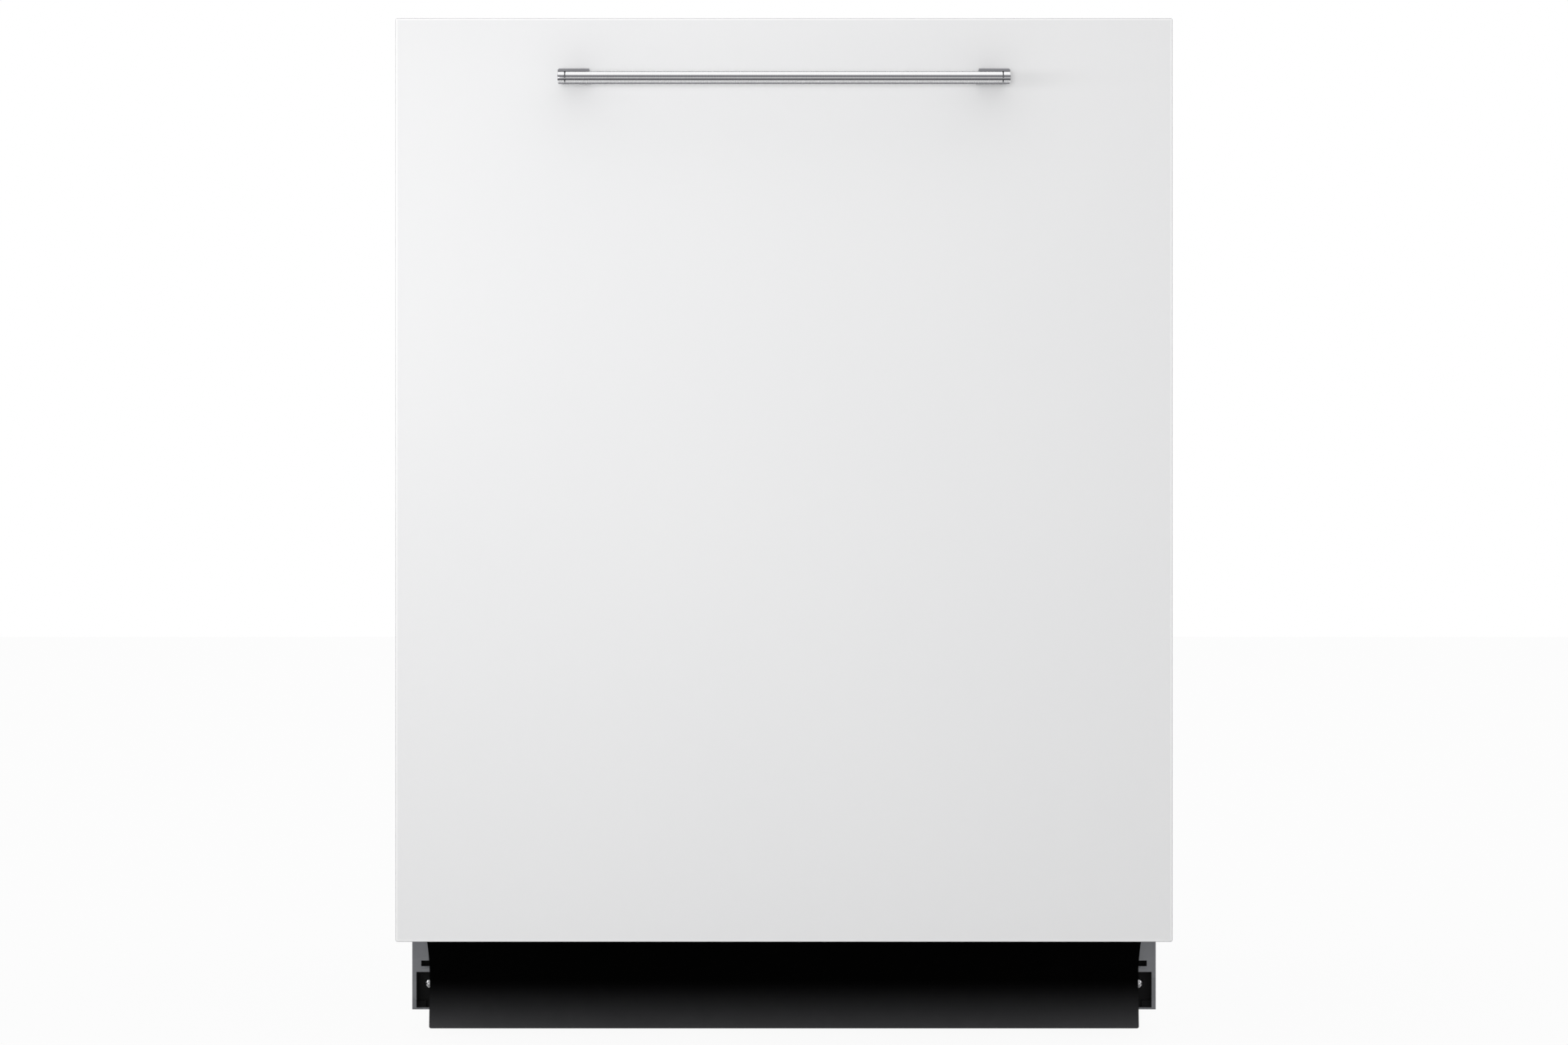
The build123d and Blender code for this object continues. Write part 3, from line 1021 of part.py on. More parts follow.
# Hinge arms: steel plates on the door's liner, turning on the pins, with a tail that pulls the spring
HINGE_GAP = 1.0
ARM_EAR_R = 11.0
ARM_SHOULDER = 7.7
ARM_FRONT = 14.0  # hinge axis forward to the arm's front edge
ARM_H = 170.0  # arm above the hinge axis
ARM_FLANGE_W = 20.0
ARM_FLANGE_T = 2.0
ARM_FLANGE_LOW = 28.0
PEG_LEN = 8.0
arm_in = HINGE_IN + HINGE_PLATE + HINGE_GAP
peg_y = HINGE_Y + PEG_BACK
with BuildPart() as hinge_arm:
    with BuildSketch(facing_right(arm_in)):
        with BuildLine():
            Polyline(
                (HINGE_Y - ARM_FRONT, HINGE_Z),
                (Y_LINER_FRONT, HINGE_Z),
                (Y_LINER_FRONT, HINGE_Z + ARM_H),
                (HINGE_Y - ARM_FRONT, HINGE_Z + ARM_H),
                close=True,
            )
        make_face()
        with Locations((HINGE_Y, HINGE_Z)):
            Circle(ARM_EAR_R)
        with BuildLine():
            Polyline(
                (HINGE_Y, HINGE_Z + ARM_SHOULDER),
                (peg_y, SPRING_Z + PEG_D),
                (peg_y, SPRING_Z - PEG_D),
                (HINGE_Y, HINGE_Z - ARM_EAR_R),
                close=True,
            )
        make_face()
        with Locations((peg_y, SPRING_Z)):
            Circle(PEG_D)
        with Locations((HINGE_Y, HINGE_Z)):
            Circle(hinge_hole_d / 2, mode=Mode.SUBTRACT)
    extrude(amount=HINGE_PLATE)
    flange_y = (Y_LINER_FRONT - ARM_FLANGE_T, Y_LINER_FRONT)
    flange_z = (HINGE_Z + ARM_FLANGE_LOW, HINGE_Z + ARM_H)
    block(arm_in + HINGE_PLATE - ARM_FLANGE_W, arm_in + HINGE_PLATE, *flange_y, *flange_z)
    peg_mid = (arm_in + HINGE_PLATE + PEG_LEN / 2, peg_y, SPRING_Z)
    rods_along("x", PEG_LEN, PEG_D, [peg_mid])
keep("hinge_arm_right", hinge_arm.part)
keep("hinge_arm_left", mirrored(hinge_arm.part))

# Hinge pins: headed steel pins, each with a clip outside the arm
PIN_HEAD_D = 13.0
PIN_HEAD_T = 2.0
PIN_CLIP_D = 11.0
PIN_CLIP_T = 1.2
pin_end = arm_in + HINGE_PLATE + FIT
with BuildPart() as hinge_pins:
    rods_along("x", PIN_HEAD_T, PIN_HEAD_D, [(HINGE_IN - PIN_HEAD_T / 2, HINGE_Y, HINGE_Z)])
    rods_along("x", pin_end - HINGE_IN, HINGE_PIN_D, [((pin_end + HINGE_IN) / 2, HINGE_Y, HINGE_Z)])
    rods_along("x", PIN_CLIP_T, PIN_CLIP_D, [(pin_end + PIN_CLIP_T / 2, HINGE_Y, HINGE_Z)])
    mirror(about=Plane.YZ)
keep("hinge_pins", hinge_pins.part)

# Door springs: close-wound springs that balance the door, hooked on the peg and the tray's anchor
SPRING_HOOK_D = 2.4
SPRING_HOOK_IN = 4.77  # eye centre to the hook wire's end
SPRING_HOOK_LEN = 16.0  # eye centre to the wound body
with BuildPart() as door_spring:
    eyes = [(SPRING_X, peg_y, SPRING_Z), (SPRING_X, ANCHOR_Y, SPRING_Z)]
    spring_mid = (peg_y + ANCHOR_Y) / 2
    wound_len = ANCHOR_Y - peg_y - 2 * SPRING_HOOK_LEN
    rods_along("y", wound_len, SPRING_D, [(SPRING_X, spring_mid, SPRING_Z)])
    rods_along("y", ANCHOR_Y - peg_y - 2 * SPRING_HOOK_IN, SPRING_HOOK_D, [(SPRING_X, spring_mid, SPRING_Z)])
    rods_along("x", SPRING_EYE_T, SPRING_EYE_D, eyes)
    rods_along("x", 2 * SPRING_EYE_T, PEG_D + 2 * FIT, eyes, Mode.SUBTRACT)
keep("door_spring_right", door_spring.part)
keep("door_spring_left", mirrored(door_spring.part))

# Feed pipe: a moulded duct up the tub's back wall and along its roof to a ceiling spray head
DUCT_W = 44.0
DUCT_T = 18.0
DUCT_FOOT_GAP = 2.0  # tub's rear round up to the duct's foot
DUCT_CORNER_GAP = 1.0
DUCT_LOW = TUB_FLOOR_Z + TUB_BACK_R + DUCT_FOOT_GAP
DUCT_OUTER_R = TUB_BACK_R + DUCT_CORNER_GAP
DUCT_INNER_R = 6.0
DUCT_EDGE_R = 1.0
HEAD_D = 62.0
HEAD_T = 14.0
DOCK_D = 26.0
DOCK_LEN = 10.0
DOCK_Z = 470.0
duct_back = Y_TUB_BACK - FIT
duct_top = TUB_CEILING_Z - FIT
with BuildPart() as feed_pipe:
    with BuildSketch(facing_right(-DUCT_W / 2)):
        with BuildLine():
            FilletPolyline(
                (ARM_Y, duct_top),
                (duct_back, duct_top),
                (duct_back, DUCT_LOW),
                (duct_back - DUCT_T, DUCT_LOW),
                (duct_back - DUCT_T, duct_top - DUCT_T),
                (ARM_Y, duct_top - DUCT_T),
                radius=[DUCT_OUTER_R, DUCT_EDGE_R, DUCT_EDGE_R, DUCT_INNER_R],
            )
            Line((ARM_Y, duct_top - DUCT_T), (ARM_Y, duct_top))
        make_face()
    extrude(amount=DUCT_W)
    with Locations((0, ARM_Y, duct_top - (DUCT_T + HEAD_T) / 2)):
        Cylinder(HEAD_D / 2, DUCT_T + HEAD_T)
    rods_along("y", DOCK_LEN, DOCK_D, [(0, duct_back - DUCT_T - DOCK_LEN / 2, DOCK_Z)])
keep("feed_pipe", feed_pipe.part)

# Lower hub: the spigot the lower arm turns on, fed from the pump below the tub
HUB_FLANGE_D = 52.0
HUB_FLANGE_T = 3.0
with BuildPart() as lower_hub:
    with Locations((0, ARM_Y, (HUB_TOP + OUTLET_Z) / 2)):
        Cylinder(HUB_D / 2 - PIN_FIT, HUB_TOP - OUTLET_Z)
    with Locations((0, ARM_Y, TUB_FLOOR_Z + HUB_FLANGE_T / 2)):
        Cylinder(HUB_FLANGE_D / 2, HUB_FLANGE_T)
    with Locations((0, ARM_Y, OUTLET_Z)):
        Sphere(HUB_D / 2 - PIN_FIT)
    rods_along("y", ARM_Y - OUTLET_END, OUTLET_D, [(0, (ARM_Y + OUTLET_END) / 2, OUTLET_Z)])
keep("lower_hub", lower_hub.part)

# Spray arms: hollow-looking blades with a row of jets, each turning on its hub
BLADE_W = 46.0
BLADE_TIP_W = 30.0
BLADE_T = 12.0
BLADE_EDGE_R = 3.0
ARM_HUB_D = 60.0
ARM_HUB_T = 18.0
JET_D = 4.0
JET_DEPTH = 3.0
JET_STEP = 40.0
LOWER_ARM_GAP = 25.85  # arm's tip to the tub's back wall
LOWER_ARM_RISE = 16.0  # tub's floor up to the arm
LOWER_ARM_R = TUB_DEPTH / 2 - LOWER_ARM_GAP
LOWER_ARM_Z = TUB_FLOOR_Z + LOWER_ARM_RISE


def spray_blade(y, z, reach):
    """A two-ended blade round (0, y), its underside at z, with jets along both halves."""
    with BuildSketch(Plane.XY.offset(z)) as blade:
        with Locations((0, y)):
            SlotOverall(2 * reach, BLADE_TIP_W)
            Ellipse(reach * 0.8, BLADE_W / 2)
    extrude(blade.sketch, amount=BLADE_T)
    jet_run = reach - ARM_HUB_D / 2 - BLADE_TIP_W / 2
    jet_count = int((jet_run + FIT) // JET_STEP) + 1
    jet_xs = [reach - BLADE_TIP_W / 2 - k * JET_STEP for k in range(jet_count)]
    jets = [(sign * x, y, z + BLADE_T) for sign in SIDES.values() for x in jet_xs]
    rods_along("z", 2 * JET_DEPTH, JET_D, jets, Mode.SUBTRACT)


with BuildPart() as lower_spray_arm:
    spray_blade(ARM_Y, LOWER_ARM_Z, LOWER_ARM_R)
    with Locations((0, ARM_Y, LOWER_ARM_Z + ARM_HUB_T / 2)):
        Cylinder(ARM_HUB_D / 2, ARM_HUB_T)
    fillet(lower_spray_arm.edges().group_by(Axis.Z)[-1], BLADE_EDGE_R)
    bore_top = HUB_TOP + FIT
    with Locations((0, ARM_Y, (LOWER_ARM_Z + bore_top) / 2)):
        Cylinder(HUB_D / 2 + PIN_FIT, bore_top - LOWER_ARM_Z, mode=Mode.SUBTRACT)
keep("lower_spray_arm", lower_spray_arm.part)

# Racks: welded round wire, each hung on two T-shaped rails that run in glides on the tub's walls
WIRE_D = 4.0
TINE_D = 3.4
WELD = 3.0  # step between crossing wires, which bite into each other by the rest
WIRE_BEND_R = 14.0
RACK_SIDE_GAP = 32.0  # tub's wall to the rack's upright wires
RACK_FRONT_GAP = 52.3  # tub's mouth to the rack's front wires
RACK_REAR_GAP = 38.4
RACK_HALF = X_TUB - RACK_SIDE_GAP
RACK_FRONT = Y_RIM + RACK_FRONT_GAP
RACK_REAR = Y_TUB_BACK - RACK_REAR_GAP
RACK_END_IN = 24.0  # rack's end to its first crossing wire
CROSS_WIRES = 8
LONG_WIRES = 8
TINE_H = 82.0
TINE_TIP_R = 1.2
TINE_STEP = 42.0
TINE_ROWS = (3, 5, 7)  # long wires that carry tines
RAIL_HEAD_W = 7.0
RAIL_HEAD_H = 12.0
RAIL_WEB_T = 4.0
RAIL_GAP = 6.0  # tub's wall to the rail's outer face
RAIL_END = 5.0  # rail past the rack's rear wires
RAIL_START = 6.0  # rack's front wires back to the rail's end
RAIL_OUT = X_TUB - RAIL_GAP
RAIL_REAR = RACK_REAR + RAIL_END
RAIL_FRONT = RACK_FRONT + RAIL_START
LOWER_RACK_RISE = 62.0  # tub's floor up to the rack's floor wires
LOWER_RACK_H = 118.0
LOWER_RAIL_UP = 88.0  # rack's floor up to its rails
UPPER_RACK_RISE = 20.0  # feed dock up to the rack's floor wires
UPPER_RACK_H = 106.0
UPPER_RAIL_UP = 72.0
lower_floor = TUB_FLOOR_Z + LOWER_RACK_RISE
upper_floor = DOCK_Z + UPPER_RACK_RISE
lower_rail_z = lower_floor + LOWER_RAIL_UP
upper_rail_z = upper_floor + UPPER_RAIL_UP
cross_step = (RACK_REAR - RACK_FRONT - 2 * RACK_END_IN) / (CROSS_WIRES - 1)
cross_ys = [RACK_FRONT + RACK_END_IN + k * cross_step for k in range(CROSS_WIRES)]
long_step = 2 * (RACK_HALF - RACK_END_IN) / (LONG_WIRES - 1)
long_xs = [RACK_END_IN - RACK_HALF + k * long_step for k in range(LONG_WIRES)]


def bent_wire(points, corner, closed=False):
    """A round wire bent along corner points."""
    with BuildPart() as wire:
        with BuildLine() as path:
            FilletPolyline(*points, radius=corner, close=closed)
        with BuildSketch(Plane(origin=path.line @ 0, z_dir=path.line % 0)):
            Circle(WIRE_D / 2)
        sweep(path=path.line)
    return wire.part


def rack_wires(floor, top):
    """Crosswise and lengthwise bent wires, with a rim round the top and one half way up."""
    wires = []
    for y in cross_ys:
        corners = [(-RACK_HALF, y, top), (-RACK_HALF, y, floor), (RACK_HALF, y, floor), (RACK_HALF, y, top)]
        wires.append(bent_wire(corners, WIRE_BEND_R))
    raised = floor + WELD
    long_corners = [(RACK_FRONT, top), (RACK_FRONT, raised), (RACK_REAR, raised), (RACK_REAR, top)]
    for x in long_xs:
        corners = [(x, y, z) for y, z in long_corners]
        wires.append(bent_wire(corners, WIRE_BEND_R))
    for z in (top, (floor + top) / 2):
        x1, y0, y1 = RACK_HALF + WELD, RACK_FRONT - WELD, RACK_REAR + WELD
        wires.append(bent_wire([(-x1, y0, z), (x1, y0, z), (x1, y1, z), (-x1, y1, z)], WIRE_BEND_R, True))
    return wires


def rack_rails(z):
    """Both rails: a head that runs in the glides and a web that carries the rack."""
    for sign in SIDES.values():
        head_in = sign * (RAIL_OUT - RAIL_HEAD_W)
        block(head_in, sign * RAIL_OUT, RAIL_FRONT, RAIL_REAR, z - RAIL_HEAD_H / 2, z + RAIL_HEAD_H / 2)
        block(sign * RACK_HALF, head_in, RAIL_FRONT, RAIL_REAR, z - RAIL_WEB_T / 2, z + RAIL_WEB_T / 2)


lower_wires = rack_wires(lower_floor, lower_floor + LOWER_RACK_H)
upper_wires = rack_wires(upper_floor, upper_floor + UPPER_RACK_H)

with BuildPart() as lower_rack:
    add(lower_wires)
    rack_rails(lower_rail_z)
keep("lower_rack", lower_rack.part)

# Plate tines: rods that stand on the lower rack's lengthwise wires, each welded at its foot
tine_low = lower_floor + WELD + WIRE_D / 2 + PIN_FIT
with BuildPart() as plate_tines:
    tine_ys = [cross_ys[1] + k * TINE_STEP for k in range(int((cross_ys[-1] - cross_ys[1]) // TINE_STEP))]
    tine_mids = [(long_xs[row], y, tine_low + TINE_H / 2) for row in TINE_ROWS for y in tine_ys]
    rods_along("z", TINE_H, TINE_D, tine_mids)
    fillet(plate_tines.edges().group_by(Axis.Z)[-1], TINE_TIP_R)
keep("plate_tines", plate_tines.part)

with BuildPart() as upper_rack:
    add(upper_wires)
    rack_rails(upper_rail_z)
keep("upper_rack", upper_rack.part)

# Rack glides: moulded channels screwed to the tub's side walls
GLIDE_W = 18.0
GLIDE_H = 22.0
GLIDE_LEN = 70.0
GLIDE_FRONT_IN = 43.3  # tub's mouth to the middle of the front glides
GLIDE_REAR_IN = 47.45  # spray arms' axis to the middle of the rear glides
GLIDE_IN = X_TUB - GLIDE_W
GLIDE_YS = (Y_RIM + GLIDE_FRONT_IN, ARM_Y + GLIDE_REAR_IN)
glide_mids = [(z, y) for z in (lower_rail_z, upper_rail_z) for y in GLIDE_YS]
with BuildPart() as rack_glides:
    for z, y in glide_mids:
        glide_y = (y - GLIDE_LEN / 2, y + GLIDE_LEN / 2)
        block(GLIDE_IN, X_TUB, *glide_y, z - GLIDE_H / 2, z + GLIDE_H / 2)
        cut_y = (glide_y[0] - OVER, glide_y[1] + OVER)
        head_half = RAIL_HEAD_H / 2 + FIT
        web_half = RAIL_WEB_T / 2 + FIT
        head_x = (RAIL_OUT - RAIL_HEAD_W - FIT, RAIL_OUT + FIT)
        block(*head_x, *cut_y, z - head_half, z + head_half, Mode.SUBTRACT)
        block(GLIDE_IN - OVER, RAIL_OUT - FIT, *cut_y, z - web_half, z + web_half, Mode.SUBTRACT)
    mirror(about=Plane.YZ)
keep("rack_glides", rack_glides.part)

# Feed tube under the upper rack: takes water from the duct's dock and carries the upper arm
TUBE_D = 24.0
CLIP_W = 16.0
CLIP_LEN = 12.0
CLIP_GAP = 0.1
STEM_D = 20.0
NUT_D = 34.0
NUT_T = 4.0
UPPER_ARM_GAP = 55.85  # arm's tip to the tub's back wall
UPPER_ARM_R = TUB_DEPTH / 2 - UPPER_ARM_GAP
tube_rear = duct_back - DUCT_T - DOCK_LEN - FIT
upper_arm_z = DOCK_Z - TUBE_D / 2 - FIT - ARM_HUB_T
stem_low = upper_arm_z - FIT - NUT_T
clip_ys = [y for y in cross_ys if y > ARM_Y][::2]
with BuildPart() as upper_feed_tube:
    rods_along("y", tube_rear - ARM_Y, TUBE_D, [(0, (tube_rear + ARM_Y) / 2, DOCK_Z)])
    with Locations((0, ARM_Y, DOCK_Z)):
        Sphere(TUBE_D / 2)
    with Locations((0, ARM_Y, (DOCK_Z + stem_low) / 2)):
        Cylinder(STEM_D / 2, DOCK_Z - stem_low)
    with Locations((0, ARM_Y, stem_low + NUT_T / 2)):
        Cylinder(NUT_D / 2, NUT_T)
    for y in clip_ys:
        clip_top = upper_floor - WIRE_D / 2 - CLIP_GAP
        block(-CLIP_W / 2, CLIP_W / 2, y - CLIP_LEN / 2, y + CLIP_LEN / 2, DOCK_Z, clip_top)
keep("upper_feed_tube", upper_feed_tube.part)

with BuildPart() as upper_spray_arm:
    spray_blade(ARM_Y, upper_arm_z + (ARM_HUB_T - BLADE_T) / 2, UPPER_ARM_R)
    with Locations((0, ARM_Y, upper_arm_z + ARM_HUB_T / 2)):
        Cylinder(ARM_HUB_D / 2, ARM_HUB_T)
        Cylinder(STEM_D / 2 + PIN_FIT, 2 * ARM_HUB_T, mode=Mode.SUBTRACT)
keep("upper_spray_arm", upper_spray_arm.part)

# Cutlery basket: a moulded box with compartments and a bridge handle, standing on the lower rack
BASKET_SIDE_GAP = 22.0  # rack's upright wires to the basket
BASKET_FRONT_GAP = 18.0
BASKET_W = 116.0
BASKET_D = 112.0
BASKET_H = 118.0
BASKET_WALL = 2.4
BASKET_CORNER_R = 6.0
BASKET_CELL_R = 4.0
BASKET_COLUMNS = 2
BASKET_ROWS = 2
BASKET_HANDLE_H = 30.0
BASKET_HANDLE_W = 40.0
BASKET_HANDLE_BAR = 8.0
BASKET_X = BASKET_SIDE_GAP + BASKET_W / 2 - RACK_HALF
BASKET_Y = RACK_FRONT + BASKET_FRONT_GAP + BASKET_D / 2
basket_low = lower_floor + WELD + WIRE_D / 2 + FIT
basket_high = basket_low + BASKET_H
cell_w = (BASKET_W - (BASKET_COLUMNS + 1) * BASKET_WALL) / BASKET_COLUMNS
cell_d = (BASKET_D - (BASKET_ROWS + 1) * BASKET_WALL) / BASKET_ROWS
with BuildPart() as cutlery_basket:
    with Locations((BASKET_X, BASKET_Y, (basket_low + basket_high) / 2)):
        Box(BASKET_W, BASKET_D, BASKET_H)
    fillet(cutlery_basket.edges().filter_by(Axis.Z), BASKET_CORNER_R)
    with BuildSketch(Plane.XY.offset(basket_high)):
        with Locations((BASKET_X, BASKET_Y)):
            with GridLocations(cell_w + BASKET_WALL, cell_d + BASKET_WALL, BASKET_COLUMNS, BASKET_ROWS):
                RectangleRounded(cell_w, cell_d, BASKET_CELL_R)
    extrude(amount=-(BASKET_H - BASKET_WALL), mode=Mode.SUBTRACT)
    bridge_y = (BASKET_Y - BASKET_WALL / 2, BASKET_Y + BASKET_WALL / 2)
    bridge_top = basket_high + BASKET_HANDLE_H
    bridge_x = (BASKET_X - BASKET_HANDLE_W, BASKET_X + BASKET_HANDLE_W)
    block(*bridge_x, *bridge_y, basket_high - BASKET_WALL, bridge_top)
    grip_half = BASKET_HANDLE_W - BASKET_HANDLE_BAR
    grip_z = (basket_high, bridge_top - BASKET_HANDLE_BAR)
    grip_y = (bridge_y[0] - OVER, bridge_y[1] + OVER)
    block(BASKET_X - grip_half, BASKET_X + grip_half, *grip_y, *grip_z, Mode.SUBTRACT)
keep("cutlery_basket", cutlery_basket.part)

os.makedirs("parts", exist_ok=True)
for name, part in parts.items():
    export_step(part, f"parts/{name}.step")
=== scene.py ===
"""Looks of a built-in dishwasher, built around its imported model, in metres and in the same frame."""
import math

import bmesh
import bpy
import numpy as np
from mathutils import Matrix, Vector


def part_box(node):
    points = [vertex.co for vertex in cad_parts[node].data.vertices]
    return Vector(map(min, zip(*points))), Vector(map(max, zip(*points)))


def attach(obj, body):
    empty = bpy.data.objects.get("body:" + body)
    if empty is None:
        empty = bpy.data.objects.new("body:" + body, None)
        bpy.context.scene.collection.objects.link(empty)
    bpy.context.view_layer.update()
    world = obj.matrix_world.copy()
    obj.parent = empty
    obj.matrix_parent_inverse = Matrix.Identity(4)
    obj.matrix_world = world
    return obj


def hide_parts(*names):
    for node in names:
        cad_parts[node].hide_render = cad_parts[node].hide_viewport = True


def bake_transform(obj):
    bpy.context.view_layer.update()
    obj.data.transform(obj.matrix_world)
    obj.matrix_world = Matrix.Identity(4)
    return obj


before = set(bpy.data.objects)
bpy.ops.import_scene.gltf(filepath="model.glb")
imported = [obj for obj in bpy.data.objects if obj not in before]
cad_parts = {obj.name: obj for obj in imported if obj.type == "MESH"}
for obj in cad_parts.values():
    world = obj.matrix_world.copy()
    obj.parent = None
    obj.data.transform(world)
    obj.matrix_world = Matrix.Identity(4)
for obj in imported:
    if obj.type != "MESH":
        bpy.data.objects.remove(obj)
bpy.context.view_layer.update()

# Studio. The machine stands on a pale floor in a white room that is dimmer in front, with a soft lamp
# by the camera and a strip lamp on the left; the camera stands level and square to the panel.
CAMERA_PLACE = (0.0, -2.2666, 0.3938)
CAMERA_SENSOR = 36.0
CAMERA_LENS = 59.7
CAMERA_SHIFT = 0.0149
FLOOR_REACH = 9.0
FLOOR_WHITE = (0.72, 0.72, 0.72)
FLOOR_GLOW = 0.94
ROOM_WHITE = (1.0, 1.0, 1.0)
ROOM_LIGHT = 0.90
FRONT_LIGHT = 0.37
FRONT_CONE = (-0.95, -0.30)


class Socket:
    """One output of a node tree. Arithmetic on it adds Math nodes, and node() adds any other node."""

    def __init__(self, tree, output):
        self.tree = tree
        self.output = output

    def node(self, kind, settings, sockets, out=0):
        """Adds a node: its settings first, then the values or links of its inputs, a colour as three numbers;
        gives one output."""
        made = self.tree.nodes.new(kind)
        for key, value in settings.items():
            setattr(made, key, value)
        for key, value in sockets.items():
            if isinstance(value, Socket):
                self.tree.links.new(value.output, made.inputs[key])
            else:
                colour = made.inputs[key].type == "RGBA"
                made.inputs[key].default_value = (*value, 1.0) if colour else value
        return Socket(self.tree, made.outputs[out]) if len(made.outputs) else None

    def math(self, operation, first, second=0.0):
        """A Math node on two values, each a number or a Socket."""
        return self.node("ShaderNodeMath", {"operation": operation}, {0: first, 1: second})

    def __add__(self, other):
        return self.math("ADD", self, other)

    __radd__ = __add__

    def __sub__(self, other):
        return self.math("SUBTRACT", self, other)

    def __rsub__(self, other):
        return self.math("SUBTRACT", other, self)

    def __mul__(self, other):
        return self.math("MULTIPLY", self, other)

    __rmul__ = __mul__

    def __truediv__(self, other):
        return self.math("DIVIDE", self, other)

    def __pow__(self, other):
        return self.math("POWER", self, other)

    def along(self, axis):
        """One of the three numbers of a place."""
        return self.node("ShaderNodeSeparateXYZ", {}, {0: self}, out=axis)

    def noise(self, scale, stretch=(1.0, 1.0, 1.0), detail=3.0):
        """Cloudy noise, 0 to 1, with scale grains per metre times the stretch on each axis."""
        place = self.node("ShaderNodeMapping", {}, {"Vector": self, "Scale": stretch})
        return place.node("ShaderNodeTexNoise", {}, {"Vector": place, "Scale": scale, "Detail": detail})

    def between(self, low, high):
        """0 up to low, 1 from high on, and a smooth step in between."""
        return self.node(
            "ShaderNodeMapRange", {"interpolation_type": "SMOOTHSTEP"},
            {"Value": self, "From Min": low, "From Max": high},
        )

    def mix(self, low, high):
        """The colour low where this is 0 and high where it is 1."""
        return self.node("ShaderNodeMix", {"data_type": "RGBA"}, {0: self, 6: low, 7: high}, out=2)

    def bump(self, depth):
        """A normal from this as a height map of that depth in metres."""
        return self.node("ShaderNodeBump", {}, {"Height": self, "Strength": 1.0, "Distance": depth})

    def shade(self, colour, roughness, normal=(0.0, 0.0, 0.0), metallic=0.0, specular=0.5, coat=0.0):
        """Ends the finish with a Principled shader."""
        shader = self.node("ShaderNodeBsdfPrincipled", {}, {
            "Base Color": colour, "Metallic": metallic, "Roughness": roughness, "Normal": normal,
            "Specular IOR Level": specular, "Coat Weight": coat,
        })
        self.node("ShaderNodeOutputMaterial", {}, {"Surface": shader})


def new_finish(name):
    """An empty material and its Object coordinates."""
    made = bpy.data.materials.new(name)
    made.use_nodes = True
    made.node_tree.nodes.clear()
    coords = made.node_tree.nodes.new("ShaderNodeTexCoord")
    return made, Socket(made.node_tree, coords.outputs["Object"])


def hang_lamp(name, place, aim, width, height, watts, spread):
    """A soft oblong lamp at place that faces aim with a spread in degrees, unseen by the camera."""
    light = bpy.data.lights.new(name, "AREA")
    light.shape = "RECTANGLE"
    light.size = width
    light.size_y = height
    light.energy = watts
    light.spread = math.radians(spread)
    hung = bpy.data.objects.new(name, light)
    hung.location = place
    hung.rotation_euler = (Vector(aim) - Vector(place)).to_track_quat("-Z", "Y").to_euler()
    hung.visible_camera = False
    bpy.context.scene.collection.objects.link(hung)
    return hung


camera = bpy.data.objects.new("camera", bpy.data.cameras.new("camera"))
camera.data.sensor_width = CAMERA_SENSOR
camera.data.lens = CAMERA_LENS
camera.data.shift_y = CAMERA_SHIFT
camera.location = CAMERA_PLACE
camera.rotation_euler = (math.radians(90), 0, 0)
bpy.context.scene.collection.objects.link(camera)
bpy.context.scene.camera = camera
bpy.context.scene.view_settings.view_transform = "Standard"

room = bpy.data.worlds.new("room")
room.use_nodes = True
room.node_tree.nodes.clear()
rays = Socket(room.node_tree, room.node_tree.nodes.new("ShaderNodeLightPath").outputs["Is Camera Ray"])
for ray in ("Is Glossy Ray", "Is Transmission Ray"):
    rays = rays + rays.node("ShaderNodeLightPath", {}, {}, out=ray)
seen = rays.math("MINIMUM", rays, 1.0)
way = Socket(room.node_tree, room.node_tree.nodes.new("ShaderNodeTexCoord").outputs["Generated"])
light = way.along(1).between(*FRONT_CONE) * (ROOM_LIGHT - FRONT_LIGHT) + FRONT_LIGHT
strength = seen + (1.0 - seen) * light
glow = seen.node("ShaderNodeBackground", {}, {"Color": ROOM_WHITE, "Strength": strength})
glow.node("ShaderNodeOutputWorld", {}, {"Surface": glow})
bpy.context.scene.world = room

hang_lamp("strip_lamp", place=(-0.85, -1.00, 0.66), aim=(-0.12, -0.25, 0.78),
          width=1.0, height=0.15, watts=1.9, spread=160)
front_lamp = hang_lamp("front_lamp", place=(-0.10, -2.30, 0.44), aim=(-0.08, -0.25, 0.98),
                       width=0.3, height=0.3, watts=4.6, spread=110)
front_lamp.visible_glossy = False

floor_mesh = bpy.data.meshes.new("floor")
floor_corners = np.array([(-1, -1, 0), (1, -1, 0), (1, 1, 0), (-1, 1, 0)]) * FLOOR_REACH
floor_mesh.from_pydata(floor_corners, [], [(0, 1, 2, 3)])
floor = bpy.data.objects.new("floor", floor_mesh)
bpy.context.scene.collection.objects.link(floor)
floor_paint, spot = new_finish("floor_paint")
matt = spot.node("ShaderNodeBsdfDiffuse", {}, {"Color": FLOOR_WHITE})
white = spot.node("ShaderNodeEmission", {}, {"Strength": 1.0})
watched = spot.node("ShaderNodeLightPath", {}, {}, out="Is Camera Ray")
painted = spot.node("ShaderNodeMixShader", {}, {0: watched * FLOOR_GLOW, 1: matt, 2: white})
spot.node("ShaderNodeOutputMaterial", {}, {"Surface": painted})
floor_mesh.materials.append(floor_paint)

# Casing. Two folded side sheets, a back sheet and two braces across the top, of galvanised steel
# 1.2 mm thick with pressed fields; the zinc shows its crystals and has dulled unevenly.
ZINC_TONES = ((0.160, 0.164, 0.175), (0.240, 0.245, 0.258))
CRYSTALS_PER_M = 70.0


def dress(coating, *nodes):
    """Gives CAD nodes that keep their shape a finish."""
    for node in nodes:
        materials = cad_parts[node].data.materials
        materials.clear()
        materials.append(coating)


